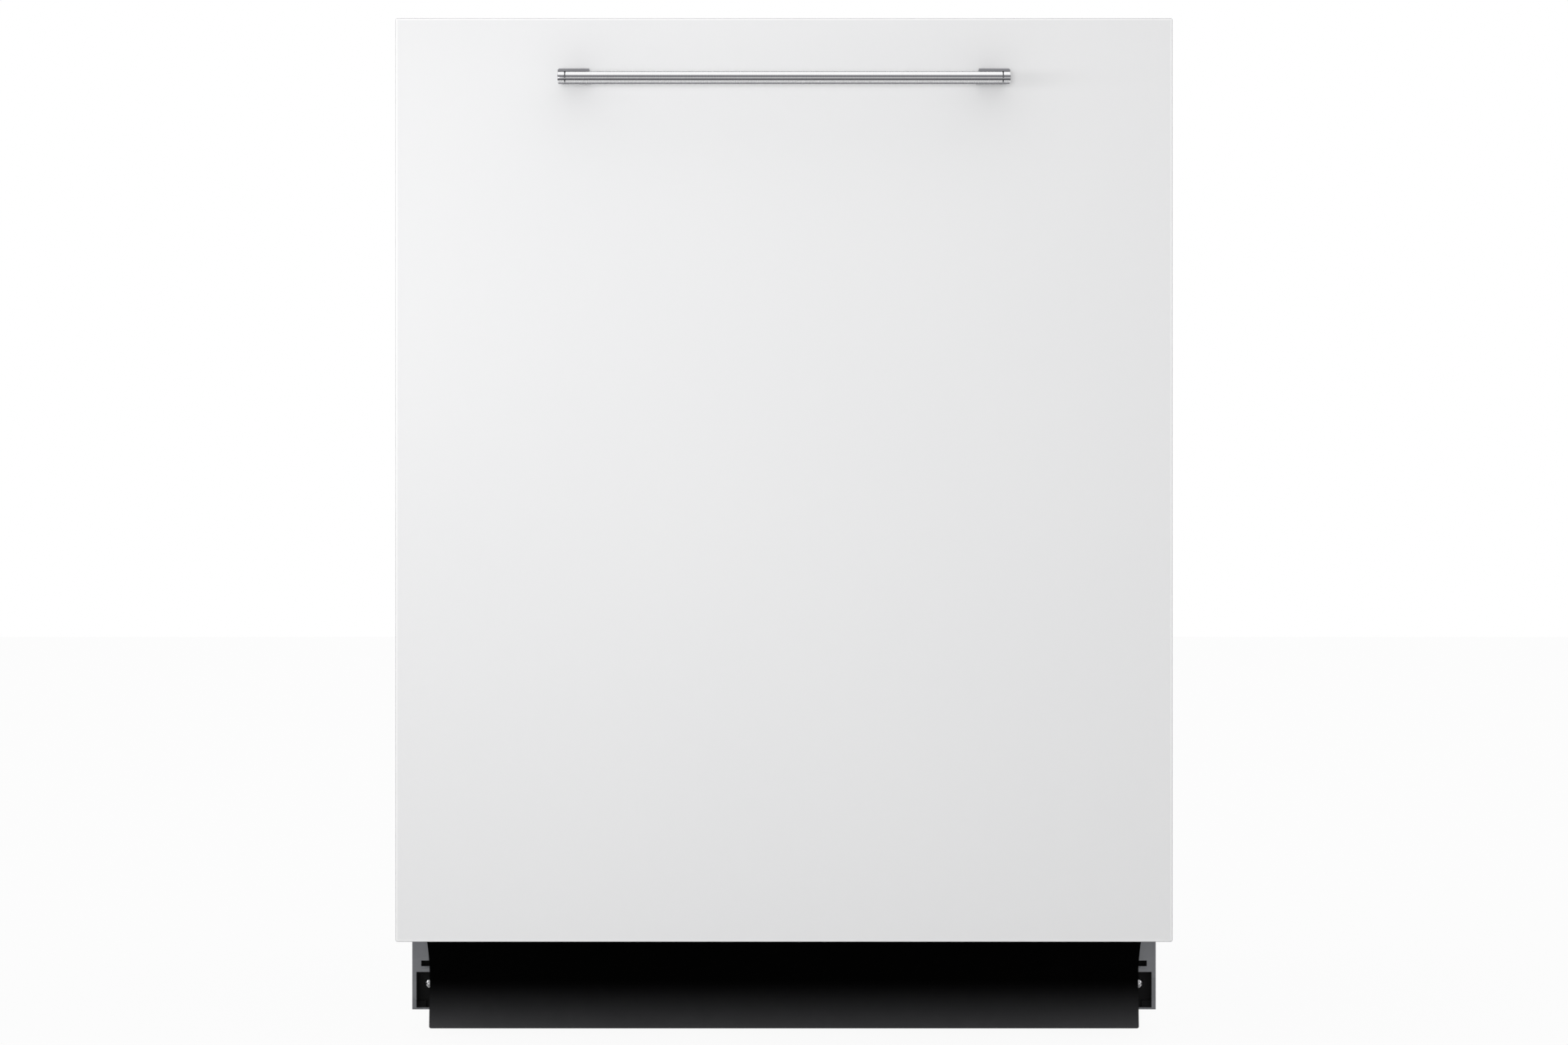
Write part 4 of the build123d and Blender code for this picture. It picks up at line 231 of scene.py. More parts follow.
casing_zinc, spot = new_finish("casing_zinc")
cells = spot.node("ShaderNodeTexVoronoi", {}, {"Vector": spot, "Scale": CRYSTALS_PER_M}, out="Color")
crystal = cells.node("ShaderNodeSeparateColor", {}, {0: cells})
dulled = spot.noise(6.0)
spot.shade(
    (crystal * 0.6 + dulled * 0.5).mix(*ZINC_TONES), crystal * 0.10 + dulled * 0.18 + 0.36,
    (crystal + spot.noise(900.0) * 0.6).bump(0.00004), metallic=0.55)
dress(casing_zinc, "side_panel_left", "side_panel_right", "back_panel", "top_brace_front", "top_brace_rear")

# Base tray. One black polypropylene moulding that carries the feet, pumps and hinges; its skin has
# a fine spark-eroded grain that has gone chalky where it was handled.
TRAY_TONES = ((0.0022, 0.0022, 0.0024), (0.0075, 0.0075, 0.0078))

tray_black, spot = new_finish("tray_black")
grain = spot.noise(1400.0)
spot.shade(
    spot.noise(18.0, detail=5.0).between(0.45, 0.75).mix(*TRAY_TONES), grain * 0.20 + 0.46,
    grain.bump(0.00006), specular=0.15)
dress(tray_black, "base_tray")

# Feet. Four moulded pads on coarse-threaded spindles, screwed up into the tray's bosses from below;
# twelve flutes round the pad give a grip for levelling the machine.
PAD_RADIUS = 0.0200
PAD_HEIGHT = 0.0100
PAD_ROUND = 0.0025
PAD_FLUTES = 12
PAD_SIDES = 8 * PAD_FLUTES
PAD_FLUTE_DEPTH = 0.0008
SPINDLE_RADIUS = 0.0060
SPINDLE_TOP = 0.1160
SPINDLE_TIP = 0.0044
SPINDLE_SIDES = 24
THREAD_PITCH = 0.0025
THREAD_DEPTH = 0.0008
THREAD_ROWS = 6
FOOT_TONES = ((0.055, 0.056, 0.058), (0.115, 0.115, 0.115))
SCUFF_HEIGHT = 0.02
WELD_REACH = 1e-6
SLIVER = 1e-7
SHARP_ANGLE = math.radians(38)


def put_together(name, sheets, coating):
    """One mesh from sheets, arrays (..., rows, columns, 3) whose neighbouring points span four-sided
    faces. Points that meet at seams and poles are merged, and the faces turned outwards."""
    points, faces, count = [], [], 0
    for sheet in sheets:
        rows, columns = sheet.shape[-3:-1]
        number = np.arange(sheet.size // 3).reshape(-1, rows, columns) + count
        corners = (number[:, :-1, :-1], number[:, :-1, 1:], number[:, 1:, 1:], number[:, 1:, :-1])
        faces.append(np.stack(corners, -1).reshape(-1, 4))
        points.append(sheet.reshape(-1, 3))
        count += number.size
    mesh = bpy.data.meshes.new(name)
    mesh.from_pydata(np.concatenate(points), [], np.concatenate(faces))
    welded = bmesh.new()
    welded.from_mesh(mesh)
    bmesh.ops.remove_doubles(welded, verts=welded.verts, dist=WELD_REACH)
    bmesh.ops.dissolve_degenerate(welded, edges=welded.edges, dist=SLIVER)
    bmesh.ops.recalc_face_normals(welded, faces=welded.faces)
    welded.to_mesh(mesh)
    welded.free()
    mesh.polygons.foreach_set("use_smooth", np.ones(len(mesh.polygons), dtype=bool))
    mesh.set_sharp_from_angle(angle=SHARP_ANGLE)
    mesh.materials.append(coating)
    piece = bpy.data.objects.new(name, mesh)
    bpy.context.scene.collection.objects.link(piece)
    return piece


def fit(name, sheets, coating, body, slot, *nodes):
    """Puts a piece together and lets it ride on a body, in place of CAD nodes where there are any; the
    slot is not used."""
    piece = put_together(name, sheets, coating)
    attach(piece, body)
    if nodes:
        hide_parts(*nodes)


def swept(radius, height, turn, centre, axis):
    """Points at a radius and a height for each angle round the axis, moved to a centre."""
    across, over = radius * np.cos(turn), radius * np.sin(turn)
    skin = np.stack([across, over, np.broadcast_to(height, across.shape)], -1)
    return np.roll(skin, axis + 1, axis=-1) + np.asarray(centre)


def turned(profile, sides, centre, axis=2):
    """A skin turned on a lathe: each profile point (radius, height) at every angle round the axis."""
    radius, height = np.asarray(profile, dtype=float).T[:, :, None]
    return swept(radius, height, np.linspace(0, 2 * np.pi, sides + 1), centre, axis)


def threaded(radius, depth, pitch, low, high, sides, centre, axis=2):
    """A threaded skin from low to high: its radius falls between crests by a triangle wave of height
    over pitch less turn over a full circle."""
    height = np.arange(low, high, pitch / THREAD_ROWS)[:, None]
    share = np.linspace(0, 1, sides + 1)
    reach = radius - depth * np.abs(2 * ((height / pitch - share) % 1) - 1)
    return swept(reach, height, 2 * np.pi * share, centre, axis)


def quarter(middle, radius, start, steps=5):
    """Points (radius, height) on a quarter circle round a middle, from the start angle in quarters."""
    turn = (start + np.linspace(0, 1, steps + 1)) * np.pi / 2
    return np.stack([middle[0] + radius * np.cos(turn), middle[1] + radius * np.sin(turn)], -1)


def round_rim(radius, low, high, ease):
    """The rim of a disc from low to high: a quarter circle at its lower edge and one at its upper."""
    inner = radius - ease
    return np.vstack([quarter((inner, low + ease), ease, 3), quarter((inner, high - ease), ease, 0)])


def foot_sheets(centre):
    """A fluted pad, its rim falling in by a share of cos(flutes x turn), and a threaded spindle."""
    pad = np.vstack([[(0, 0)], round_rim(PAD_RADIUS, 0, PAD_HEIGHT, PAD_ROUND), [(0, PAD_HEIGHT)]])
    skin = turned(pad, PAD_SIDES, (0, 0, 0))
    turn = np.linspace(0, 2 * np.pi, PAD_SIDES + 1)
    share = np.clip(np.cos(PAD_FLUTES * turn), 0, 1) * (pad[:, :1] / PAD_RADIUS) ** 4
    skin[..., :2] *= (1 - share * PAD_FLUTE_DEPTH / PAD_RADIUS)[..., None]
    spindle = threaded(SPINDLE_RADIUS, THREAD_DEPTH, THREAD_PITCH, PAD_HEIGHT, SPINDLE_TOP - THREAD_PITCH,
                       SPINDLE_SIDES, centre)
    tip = turned([(SPINDLE_TIP, SPINDLE_TOP), (0, SPINDLE_TOP)], SPINDLE_SIDES, centre)
    return [skin + centre, np.concatenate([spindle, tip])]


foot_plastic, spot = new_finish("foot_plastic")
scuff = spot.noise(140.0, detail=5.0)
scuffed = scuff.between(0.45, 0.8) * (1.0 - spot.along(2).between(0.0, SCUFF_HEIGHT))
spot.shade(scuffed.mix(*FOOT_TONES), scuff * 0.2 + 0.42, spot.noise(1500.0).bump(0.00004))
for node in ("foot_front_left", "foot_front_right", "foot_rear_left", "foot_rear_right"):
    foot_low, foot_high = np.array(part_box(node))
    middle = (foot_low + foot_high) / 2 * (1, 1, 0)
    fit(f"levelling_{node}", foot_sheets(middle), foot_plastic, node, "tray_black", node)

# Screws. Zinc plated pan heads with a cross recess, which hold the tray, the panel and the handle.
# The plating is bright, with a faint turned grain from the cold heading.
HEAD_RADIUS = 0.0043
HEAD_HEIGHT = 0.0032
HEAD_SEAT_Y = -0.1659
HEAD_X = 0.286
HEAD_Z = 0.0405
CROSS_HALF = 0.0008
CROSS_REACH = 0.0027
CROSS_DEPTH = 0.0020
CROSS_FLANK = (0.6, 1.2)
CROSS_END = 0.8
SHANK_RADIUS = 0.0021
SHANK_LENGTH = 0.0090
SHANK_SIDES = 24
PLATED_TONES = ((0.62, 0.62, 0.63), (0.88, 0.88, 0.89))


def smooth(value, start, end):
    """0 before start, 1 after end and a smooth step between."""
    share = np.clip((value - start) / (end - start), 0, 1)
    return share * share * (3 - 2 * share)


def screw_head(x, seat, z, facing, rings=28, sides=96):
    """A pan head on rings round Y: it rises from its seat as 1 less the radius to the fourth, all to
    the 0.6, less a cross whose arms are as long as its reach; a straight shank closes it behind."""
    radius = HEAD_RADIUS * np.sin(np.linspace(0, np.pi / 2, rings + 1))[:, None]
    turn = np.linspace(0, 2 * np.pi, sides + 1)[None, :]
    across, over = radius * np.cos(turn), radius * np.sin(turn)
    narrow = np.minimum(np.abs(across), np.abs(over))
    arms = 1 - smooth(narrow, CROSS_HALF * CROSS_FLANK[0], CROSS_HALF * CROSS_FLANK[1])
    arms = arms * (1 - smooth(np.hypot(across, over), CROSS_REACH * CROSS_END, CROSS_REACH))
    rise = HEAD_HEIGHT * (1 - (radius / HEAD_RADIUS) ** 4) ** 0.6 - CROSS_DEPTH * arms
    dome = np.stack([across + x, seat + facing * rise, over + z], -1)
    end = seat - facing * SHANK_LENGTH
    shank = [(HEAD_RADIUS, seat), (SHANK_RADIUS, seat), (SHANK_RADIUS, end), (0, end)]
    return [dome, turned(shank, SHANK_SIDES, (x, 0, z), 1)]


plated_steel, spot = new_finish("plated_steel")
headed = spot.noise(700.0)
spot.shade(headed.mix(*PLATED_TONES), headed * 0.14 + 0.14, headed.bump(0.00002), metallic=1.0)
heads = [skin for x in (-HEAD_X, HEAD_X) for skin in screw_head(x, HEAD_SEAT_Y, HEAD_Z, -1)]
fit("cross_head_screws", heads, plated_steel, "cabinet", "screw_steel", "tray_screws")
dress(plated_steel, "door_screws", "hinge_pins")

# Slot lips. Below the slot in each side sheet's plinth flange the punch has rolled out a narrow lip,
# on which a plinth clip hooks; its round edge catches more light than the flat sheet.
LIP_LOW = (0.2862, -0.1759, 0.0541)
LIP_HIGH = (0.2916, -0.1748, 0.0556)
LIP_ROUND = (0.0004, 0.0003)
END_MARGIN = 1.25


def both_sides(low, high):
    """The low and high corners of a block on the right and of its mirror image on the left."""
    return [low, (-high[0], *low[1:])], [high, (-low[0], *high[1:])]


def outline(half, corner, steps=7):
    """Closed oblongs with round corners, one for each half size: their points, and the way outwards."""
    turn = np.linspace(0, np.pi / 2, steps + 1) + np.arange(4)[:, None] * np.pi / 2
    outwards = np.stack([np.cos(turn), np.sin(turn)], -1).reshape(-1, 2)
    signs = np.repeat([(1, 1), (-1, 1), (-1, -1), (1, -1)], steps + 1, axis=0)
    outwards, signs = np.vstack([outwards, outwards[:1]]), np.vstack([signs, signs[:1]])
    return signs * (np.asarray(half)[..., None, :] - corner) + corner * outwards, outwards


def eased_blocks(low, high, corner, ease, axis, steps=3):
    """Blocks between low and high corners (copies, 3): an oblong with round corners carried along the
    axis, drawn in by a quarter round at both ends and closed there by a flat face with a narrow margin."""
    low, high = np.atleast_2d(low).astype(float), np.atleast_2d(high).astype(float)
    plane = [k for k in range(3) if k != axis]
    half, middle = (high - low)[:, plane] / 2, (high + low)[:, plane] / 2
    points, outwards = outline(half, corner, steps)
    tilt = np.linspace(0, np.pi / 2, steps + 1)
    inset = np.concatenate([[ease * END_MARGIN], ease * (1 - np.sin(tilt))])
    rise = np.concatenate([[0], ease * (1 - np.cos(tilt))])
    inset, rise = np.append(inset, inset[::-1]), np.append(rise, -rise[::-1])
    rings = points[:, None] - inset[:, None, None] * outwards
    rings = np.concatenate([rings[:, :1] * 0, rings, rings[:, :1] * 0], 1) + middle[:, None, None]
    ends = np.stack([low[:, axis], high[:, axis]], 1).repeat(len(inset) // 2 + 1, 1)
    skin = np.empty(rings.shape[:-1] + (3,))
    skin[..., plane] = rings
    skin[..., axis] = (ends + np.concatenate([[0], rise, [0]]))[..., None]
    return skin


lips = eased_blocks(*both_sides(LIP_LOW, LIP_HIGH), *LIP_ROUND, 0)
fit("slot_lips", [lips], casing_zinc, "cabinet", "casing_steel")

# Kick plate. Thin black painted steel that closes the front below the door, waisted at half height
# and flared towards its top; its colour is painted shade, black at the top under the door and paler towards
# the floor.
SHADED_PAINT_TONES = ((0.0004, 0.0004, 0.0004), (0.064, 0.064, 0.067))
SHADE_TOP = 0.046
SHADE_FOOT = 0.006
SHADE_POWER = 1.8

plinth_black, spot = new_finish("plinth_black")
# Painted shade: the colour runs from black at the top, under the door's overhang, to paler grey at the floor,
# with a faint mottle.
height = spot.along(2)
painted_shade = height.node("ShaderNodeMapRange", {}, {"Value": height, "From Min": SHADE_TOP, "From Max": SHADE_FOOT})
painted_shade = painted_shade ** SHADE_POWER * (spot.noise(60.0) * 0.16 + 0.92)
spot.shade(
    painted_shade.mix(*SHADED_PAINT_TONES), spot.noise(500.0) * 0.10 + 0.55,
    spot.noise(1600.0).bump(0.00003), specular=0.012)
dress(plinth_black, "kick_plate")

# Tub. A drawn shell of thin stainless sheet with a flat rim round its mouth; the walls keep the
# upright brushing of the coil, and the steel's tone wanders in slow patches.
STEEL_TONES = ((0.55, 0.55, 0.555), (0.76, 0.76, 0.765))

stainless, spot = new_finish("stainless")
brushed = spot.noise(1500.0, stretch=(1.0, 1.0, 0.02), detail=2.0)
drawn = spot.noise(9.0)
spot.shade(
    (brushed * 0.5 + drawn * 0.5).mix(*STEEL_TONES), brushed * 0.12 + drawn * 0.12 + 0.22,
    (brushed + drawn * 2.0).bump(0.00002), metallic=1.0)
dress(stainless, "tub")

# Door seal. One endless extrusion of soft black rubber pressed on to the rim: a foot, a pinched neck
# and a hollow bulb that the door's liner flattens.
SEAL_FRONT = -0.1883
SEAL_MIDDLE = 0.463
SEAL_HALF = (0.273, 0.314)
SEAL_CORNER = 0.025
SEAL_SECTION = np.array([
    (0.0, 0.0), (0.0, 1.9), (0.25, 2.3), (1.1, 2.6), (1.3, 3.0), (1.1, 3.4), (0.55, 3.9), (0.3, 4.8),
    (0.45, 5.9), (1.2, 7.0), (2.6, 7.75), (4.5, 8.0), (6.4, 7.75), (7.8, 7.0), (8.55, 5.9), (8.7, 4.8),
    (8.45, 3.9), (7.9, 3.4), (7.7, 3.0), (7.9, 2.6), (8.75, 2.3), (9.0, 1.9), (9.0, 0.0), (0.0, 0.0),
]) / 1000
RUBBER_TONES = ((0.016, 0.016, 0.017), (0.055, 0.055, 0.056))


def carried(edge, section, centre, axis):
    """A section carried round an outline: each section point (outward step, height) shifts the outline
    outwards and along the axis."""
    points, outwards = edge
    step, height = np.asarray(section, dtype=float).T
    flat = points + step[:, None, None] * outwards
    raised = np.broadcast_to(height[:, None, None], flat.shape[:-1] + (1,))
    skin = np.concatenate([flat, raised], -1)
    orders = {1: [0, 2, 1], 2: [0, 1, 2]}
    return skin[..., orders[axis]] + np.asarray(centre)


seal_rubber, spot = new_finish("seal_rubber")
bloom = spot.noise(45.0, detail=5.0)
spot.shade(
    bloom.between(0.5, 0.85).mix(*RUBBER_TONES), bloom * 0.2 + 0.5,
    spot.noise(1800.0).bump(0.00003))
seal_edge = outline(SEAL_HALF, SEAL_CORNER, 12)
seal_skin = carried(seal_edge, SEAL_SECTION * (1, -1), (0, SEAL_FRONT, SEAL_MIDDLE), 1)
fit("door_seal", [seal_skin], seal_rubber, "cabinet", "seal_rubber", "tub_gasket")

# Sound mat. A bitumen sheet melted on to the tub's roof; it has sagged a little into the steel, so
# its surface is lumpy and its edges are soft.
MAT_CORNER = 0.013
MAT_SOFT = 0.0012
MAT_ROWS = 60
MAT_LUMP = 0.0006
MAT_WAVES = (61, 53, 23, 31)
MAT_FADE = 0.3
BITUMEN_TONES = ((0.018, 0.017, 0.016), (0.052, 0.050, 0.047))

mat_low, mat_high = np.array(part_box("sound_mat"))
mat_middle = (mat_low + mat_high) / 2 * (1, 1, 0)
mat_half = (mat_high - mat_low) / 2
mat_top = mat_high[2] - MAT_LUMP
mat_rim = np.vstack([[(0.0, mat_low[2])], quarter((-MAT_SOFT, mat_top - MAT_SOFT), MAT_SOFT, 0)])
mat_skin = carried(outline(mat_half[:2], MAT_CORNER, 10), mat_rim, mat_middle, 2)
inwards = np.linspace(1, 0, MAT_ROWS)[:, None, None]
mat_face = mat_skin[-1] * inwards + (mat_middle + (0, 0, mat_top)) * (1 - inwards)
mat_x, mat_y = mat_face[..., 0], mat_face[..., 1]
wave_x, wave_y, slant_x, slant_y = MAT_WAVES
waves = np.sin(mat_x * wave_x) * np.sin(mat_y * wave_y) + np.sin(mat_x * slant_x + mat_y * slant_y)
mat_face[..., 2] += MAT_LUMP / 2 * waves * (1 - inwards[..., 0]) ** MAT_FADE
mat_base = mat_skin[0] * inwards + (mat_middle + (0, 0, mat_low[2])) * (1 - inwards)

mat_bitumen, spot = new_finish("mat_bitumen")
tar = spot.noise(70.0, detail=6.0)
spot.shade(
    tar.between(0.35, 0.75).mix(*BITUMEN_TONES), tar * 0.3 + 0.45,
    (tar * 2.0 + spot.noise(600.0)).bump(0.0003))
mat_skins = [mat_skin, mat_face, mat_base[[0, -1]]]
fit("sound_mat_sheet", mat_skins, mat_bitumen, "cabinet", "mat_bitumen", "sound_mat")

# Works below the tub. Pumps, sump, valve and terminal box are moulded in filled nylon and
# polypropylene, as are the strip, buttons, latch and dispenser in the door; the skins are satin
# with faint flow marks from the moulding.


def moulded(name, dark, pale, rough):
    """A moulded plastic: two near tones in slow flow marks, and a fine eroded grain."""
    made, spot = new_finish(name)
    flow = spot.noise(14.0, stretch=(1.0, 1.0, 0.4), detail=4.0)
    grain = spot.noise(1300.0)
    spot.shade(
        flow.between(0.3, 0.7).mix(dark, pale), grain * 0.14 + flow * 0.06 + rough,
        grain.bump(0.00004))
    return made


dark_plastic = moulded("dark_plastic", (0.020, 0.020, 0.021), (0.034, 0.034, 0.036), 0.34)
grey_plastic = moulded("grey_plastic", (0.215, 0.225, 0.235), (0.255, 0.265, 0.275), 0.34)
light_plastic = moulded("light_plastic", (0.600, 0.605, 0.600), (0.660, 0.662, 0.655), 0.32)
dress(dark_plastic, "sump", "circulation_pump")
dress(grey_plastic, "terminal_box", "lower_hub", "feed_pipe", "rack_glides", "latch_unit", "dispenser_body")
dress(light_plastic, "float_dome", "button_power", "button_program", "button_start")
dress(dark_plastic, "control_strip", "rinse_cap")

# Rotor. A die-cast cage of aluminium round a steel core, turned true on a lathe after casting.
# The turning has left fine rings round the shaft.
CAST_TONES = ((0.42, 0.42, 0.43), (0.58, 0.58, 0.59))

motor_metal, spot = new_finish("motor_metal")
rings = spot.noise(900.0, stretch=(1.0, 0.02, 0.02))
spot.shade(rings.mix(*CAST_TONES), rings * 0.2 + 0.3, rings.bump(0.00002), metallic=1.0)
dress(motor_metal, "pump_rotor")

# Drain pump. A moulded can with cooling grooves on the sump's side; its pipe runs on a leg to the
# back and ends in a barbed spigot, on to which the drain hose is pushed.
CAN_MIDDLE = (0.0, -0.035, 0.100)
CAN_ENDS = (0.180, 0.242)
CAN_RADIUS = 0.026
CAN_NOSE = 0.005
CAN_SIDES = 48
GROOVE_XS = (0.204, 0.214, 0.224)
GROOVE_HALF = 0.0014
GROOVE_DEPTH = 0.0018
PIPE_MIDDLE = (0.205, 0.0, 0.104)
PIPE_ENDS = (-0.011, 0.301)
PIPE_RADIUS = 0.0095
PIPE_BORE = 0.0066
PIPE_SIDES = 36
BARBS = 3
BARB_LENGTH = 0.0070
BARB_DROP = 0.0013
COLLAR_YS = (0.269, 0.277)
COLLAR_RADIUS = 0.0155
COLLAR_EASE = 0.0012
LEG_HALF = 0.008
LEG_ROUND = (0.0015, 0.0008)
TRAY_INSIDE = 0.0248


def sleeve(inner, outer, low, high):
    """The profile of a plain sleeve with flat ends, or of a rod where the inner radius is 0."""
    return [(inner, low), (outer, low), (outer, high), (inner, high)]


def leg_skin(x, ys, top):
    """An upright leg from the tray's floor to top, as an eased block."""
    low, high = (x - LEG_HALF, ys[0], TRAY_INSIDE), (x + LEG_HALF, ys[1], top)
    return eased_blocks(low, high, *LEG_ROUND, 2)


can_wall = [(0, CAN_ENDS[0]), (CAN_RADIUS, CAN_ENDS[0])]
for x in GROOVE_XS:
    can_wall += [(CAN_RADIUS - drop, x + step) for drop, step in (
        (0, -GROOVE_HALF), (GROOVE_DEPTH, -GROOVE_HALF), (GROOVE_DEPTH, GROOVE_HALF), (0, GROOVE_HALF))]
can_wall += [(CAN_RADIUS, CAN_ENDS[1] - CAN_NOSE), (CAN_RADIUS - CAN_NOSE, CAN_ENDS[1]), (0, CAN_ENDS[1])]
barbs = []
for y in PIPE_ENDS[1] - BARB_LENGTH * np.arange(BARBS, 0, -1):
    barbs += [(PIPE_RADIUS, y), (PIPE_RADIUS - BARB_DROP, y + BARB_LENGTH)]
pipe_wall = [(0, PIPE_ENDS[0]), (PIPE_RADIUS, PIPE_ENDS[0]), *barbs, (PIPE_BORE, PIPE_ENDS[1]),
             (PIPE_BORE, COLLAR_YS[1]), (0, COLLAR_YS[1])]
collar_wall = np.vstack([
    [(PIPE_RADIUS, COLLAR_YS[0])],
    round_rim(COLLAR_RADIUS, *COLLAR_YS, COLLAR_EASE),
    [(PIPE_RADIUS, COLLAR_YS[1])],
])
drain_skins = [
    turned(can_wall, CAN_SIDES, CAN_MIDDLE, 0),
    turned(pipe_wall, PIPE_SIDES, PIPE_MIDDLE, 1),
    turned(collar_wall, PIPE_SIDES, PIPE_MIDDLE, 1),
    leg_skin(PIPE_MIDDLE[0], COLLAR_YS, PIPE_MIDDLE[2] - PIPE_RADIUS),
]
fit("barbed_drain_pump", drain_skins, dark_plastic, "cabinet", "dark_plastic", "drain_pump")

# Inlet valve. A moulded body on a leg, closed by a flange with four screws; a hexagon and a pipe
# thread take the supply hose's nut, and a strainer sits in the bore.
VALVE_MIDDLE = (-0.190, 0.0, 0.104)
VALVE_YS = (0.233, 0.287)
VALVE_HALF = 0.023
VALVE_ROUND = (0.005, 0.0010)
FLANGE_FRONT = 0.279
FLANGE_STEP = 0.0016
HEXAGON = (0.0172, 0.2905)
INLET_RADIUS = 0.0132
INLET_BORE = 0.0092
INLET_END = 0.301
INLET_PITCH = 0.0018
INLET_DEPTH = 0.0011
INLET_SIDES = 48
STRAINER_RIDGES = (0.0078, 0.0056, 0.0034, 0.0012)
RIDGE_SECTION = ((0.0008, 0.0), (0.0004, 0.0008), (-0.0004, 0.0008), (-0.0008, 0.0))
VALVE_LEG_YS = (0.250, 0.270)

valve_mid = np.array(VALVE_MIDDLE)
wide, narrow = VALVE_HALF, VALVE_HALF - FLANGE_STEP
valve_blocks = eased_blocks(
    valve_mid + [(-narrow, VALVE_YS[0], -narrow), (-wide, FLANGE_FRONT, -wide)],
    valve_mid + [(narrow, FLANGE_FRONT + FLANGE_STEP, narrow), (wide, VALVE_YS[1], wide)],
    *VALVE_ROUND, 1, 5)
hexagon_wall = sleeve(INLET_BORE, HEXAGON[0], VALVE_YS[1], HEXAGON[1])
pipe_thread = threaded(INLET_RADIUS, INLET_DEPTH, INLET_PITCH, HEXAGON[1], INLET_END - INLET_PITCH / 2,
                       INLET_SIDES, VALVE_MIDDLE, 1)
mouth_wall = [(INLET_RADIUS - INLET_DEPTH, INLET_END), (INLET_BORE, INLET_END), (INLET_BORE, HEXAGON[1])]
mouth_wall += [(radius + step, HEXAGON[1] + rise)
               for radius in STRAINER_RIDGES for step, rise in RIDGE_SECTION]
inlet_mouth = turned([*mouth_wall, (0, HEXAGON[1])], INLET_SIDES, VALVE_MIDDLE, 1)
valve_skins = [
    valve_blocks,
    leg_skin(VALVE_MIDDLE[0], VALVE_LEG_YS, VALVE_MIDDLE[2] - narrow),
    turned(hexagon_wall, 6, VALVE_MIDDLE, 1),
    np.concatenate([pipe_thread, inlet_mouth]),
]
fit("threaded_inlet_valve", valve_skins, light_plastic, "cabinet", "light_plastic", "inlet_valve")

# Terminal box. Its moulded cover has a rim that laps over the box and a hexagon nut round the gland,
# which clamps the mains lead; small screws hold the cover and the valve's flange.
BOX_CORNERS = ((0.015, 0.0248), (0.105, 0.118))
BOX_BACK = 0.297
LAP = ((0.0, 0.2800), (0.0006, 0.2800), (0.0009, 0.2803), (0.0009, 0.2962), (0.0006, 0.2970), (0.0, 0.2970))
LAP_CORNER = 0.0012
GLAND_MIDDLE = (0.060, 0.0, 0.096)
NUT_BORE = 0.0095
NUT_RADIUS = 0.0130
NUT_YS = (0.2968, 0.3000)
COVER_SCREWS = ((0.0225, 0.110), (0.0975, 0.110))
FLANGE_SCREW = 0.0172
SMALL_HEAD = (14, 48)

box_low, box_high = np.array(BOX_CORNERS)
box_middle, box_half = (box_low + box_high) / 2, (box_high - box_low) / 2
lap_skin = carried(outline(box_half, LAP_CORNER, 3), LAP, (box_middle[0], 0, box_middle[1]), 1)
cover_skins = [lap_skin, turned(sleeve(NUT_BORE, NUT_RADIUS, *NUT_YS), 6, GLAND_MIDDLE, 1)]
fit("terminal_cover", cover_skins, grey_plastic, "cabinet", "grey_plastic")
head_places = [(x, BOX_BACK, z) for x, z in COVER_SCREWS]
head_places += [(VALVE_MIDDLE[0] + x, VALVE_YS[1], VALVE_MIDDLE[2] + z)
                for x in (-FLANGE_SCREW, FLANGE_SCREW) for z in (-FLANGE_SCREW, FLANGE_SCREW)]
small_heads = [skin for place in head_places for skin in screw_head(*place, 1, *SMALL_HEAD)]
fit("connection_screws", small_heads, plated_steel, "cabinet", "screw_steel")

# Hinges. Stamped steel brackets and arms, zinc plated and passivated, so the plate shifts between
# blue-grey and straw; the striker above the tub's mouth has the same plating.
HINGE_TONES = ((0.44, 0.46, 0.50), (0.58, 0.56, 0.48))

hinge_zinc, spot = new_finish("hinge_zinc")
passive = spot.noise(28.0, detail=4.0)
spot.shade(
    passive.between(0.35, 0.7).mix(*HINGE_TONES), spot.noise(300.0) * 0.2 + 0.26,
    spot.noise(1200.0).bump(0.00002), metallic=0.9)
dress(hinge_zinc, "hinge_bracket_left", "hinge_bracket_right", "hinge_arm_left", "hinge_arm_right", "striker")

# Door springs. Close-wound steel springs that balance the door, hooked on the arm's peg in front and
# on the tray's anchor behind.
SPRING_X = 0.273
SPRING_Z = 0.108
SPRING_COIL = (-0.1726, -0.0360)
SPRING_EYES = (-0.1886, -0.0200)
SPRING_TURNS = 62
SPRING_RADIUS = 0.0046
SPRING_WIRE = 0.0009
EYE_RADIUS = 0.0042
STEMS = ((SPRING_EYES[0] + EYE_RADIUS, SPRING_COIL[0]), (SPRING_COIL[1], SPRING_EYES[1] - EYE_RADIUS))
STEM_SIDES = 12


def coil_skin(x, z, front, rear, turns, radius, wire, steps=14, sides=8):
    """A wire wound along Y: its centre runs round the axis while it moves back, and the wire's circle
    lies across the outward direction and the direction square to the winding."""
    along = np.linspace(0, 1, turns * steps + 1)[:, None]
    turn = 2 * np.pi * turns * along
    zero = np.zeros_like(turn)
    slope = (rear - front) / (2 * np.pi * turns * radius)
    out = np.concatenate([np.cos(turn), zero, np.sin(turn)], -1)
    run = np.concatenate([-np.sin(turn), zero + slope, np.cos(turn)], -1)
    run /= np.linalg.norm(run, axis=-1, keepdims=True)
    cross = np.cross(run, out)
    centre = radius * out + np.concatenate([zero, front + (rear - front) * along, zero], -1) + (x, 0, z)
    ring = np.linspace(0, 2 * np.pi, sides + 1)[:, None]
    return centre[:, None] + wire * (np.cos(ring) * out[:, None] + np.sin(ring) * cross[:, None])


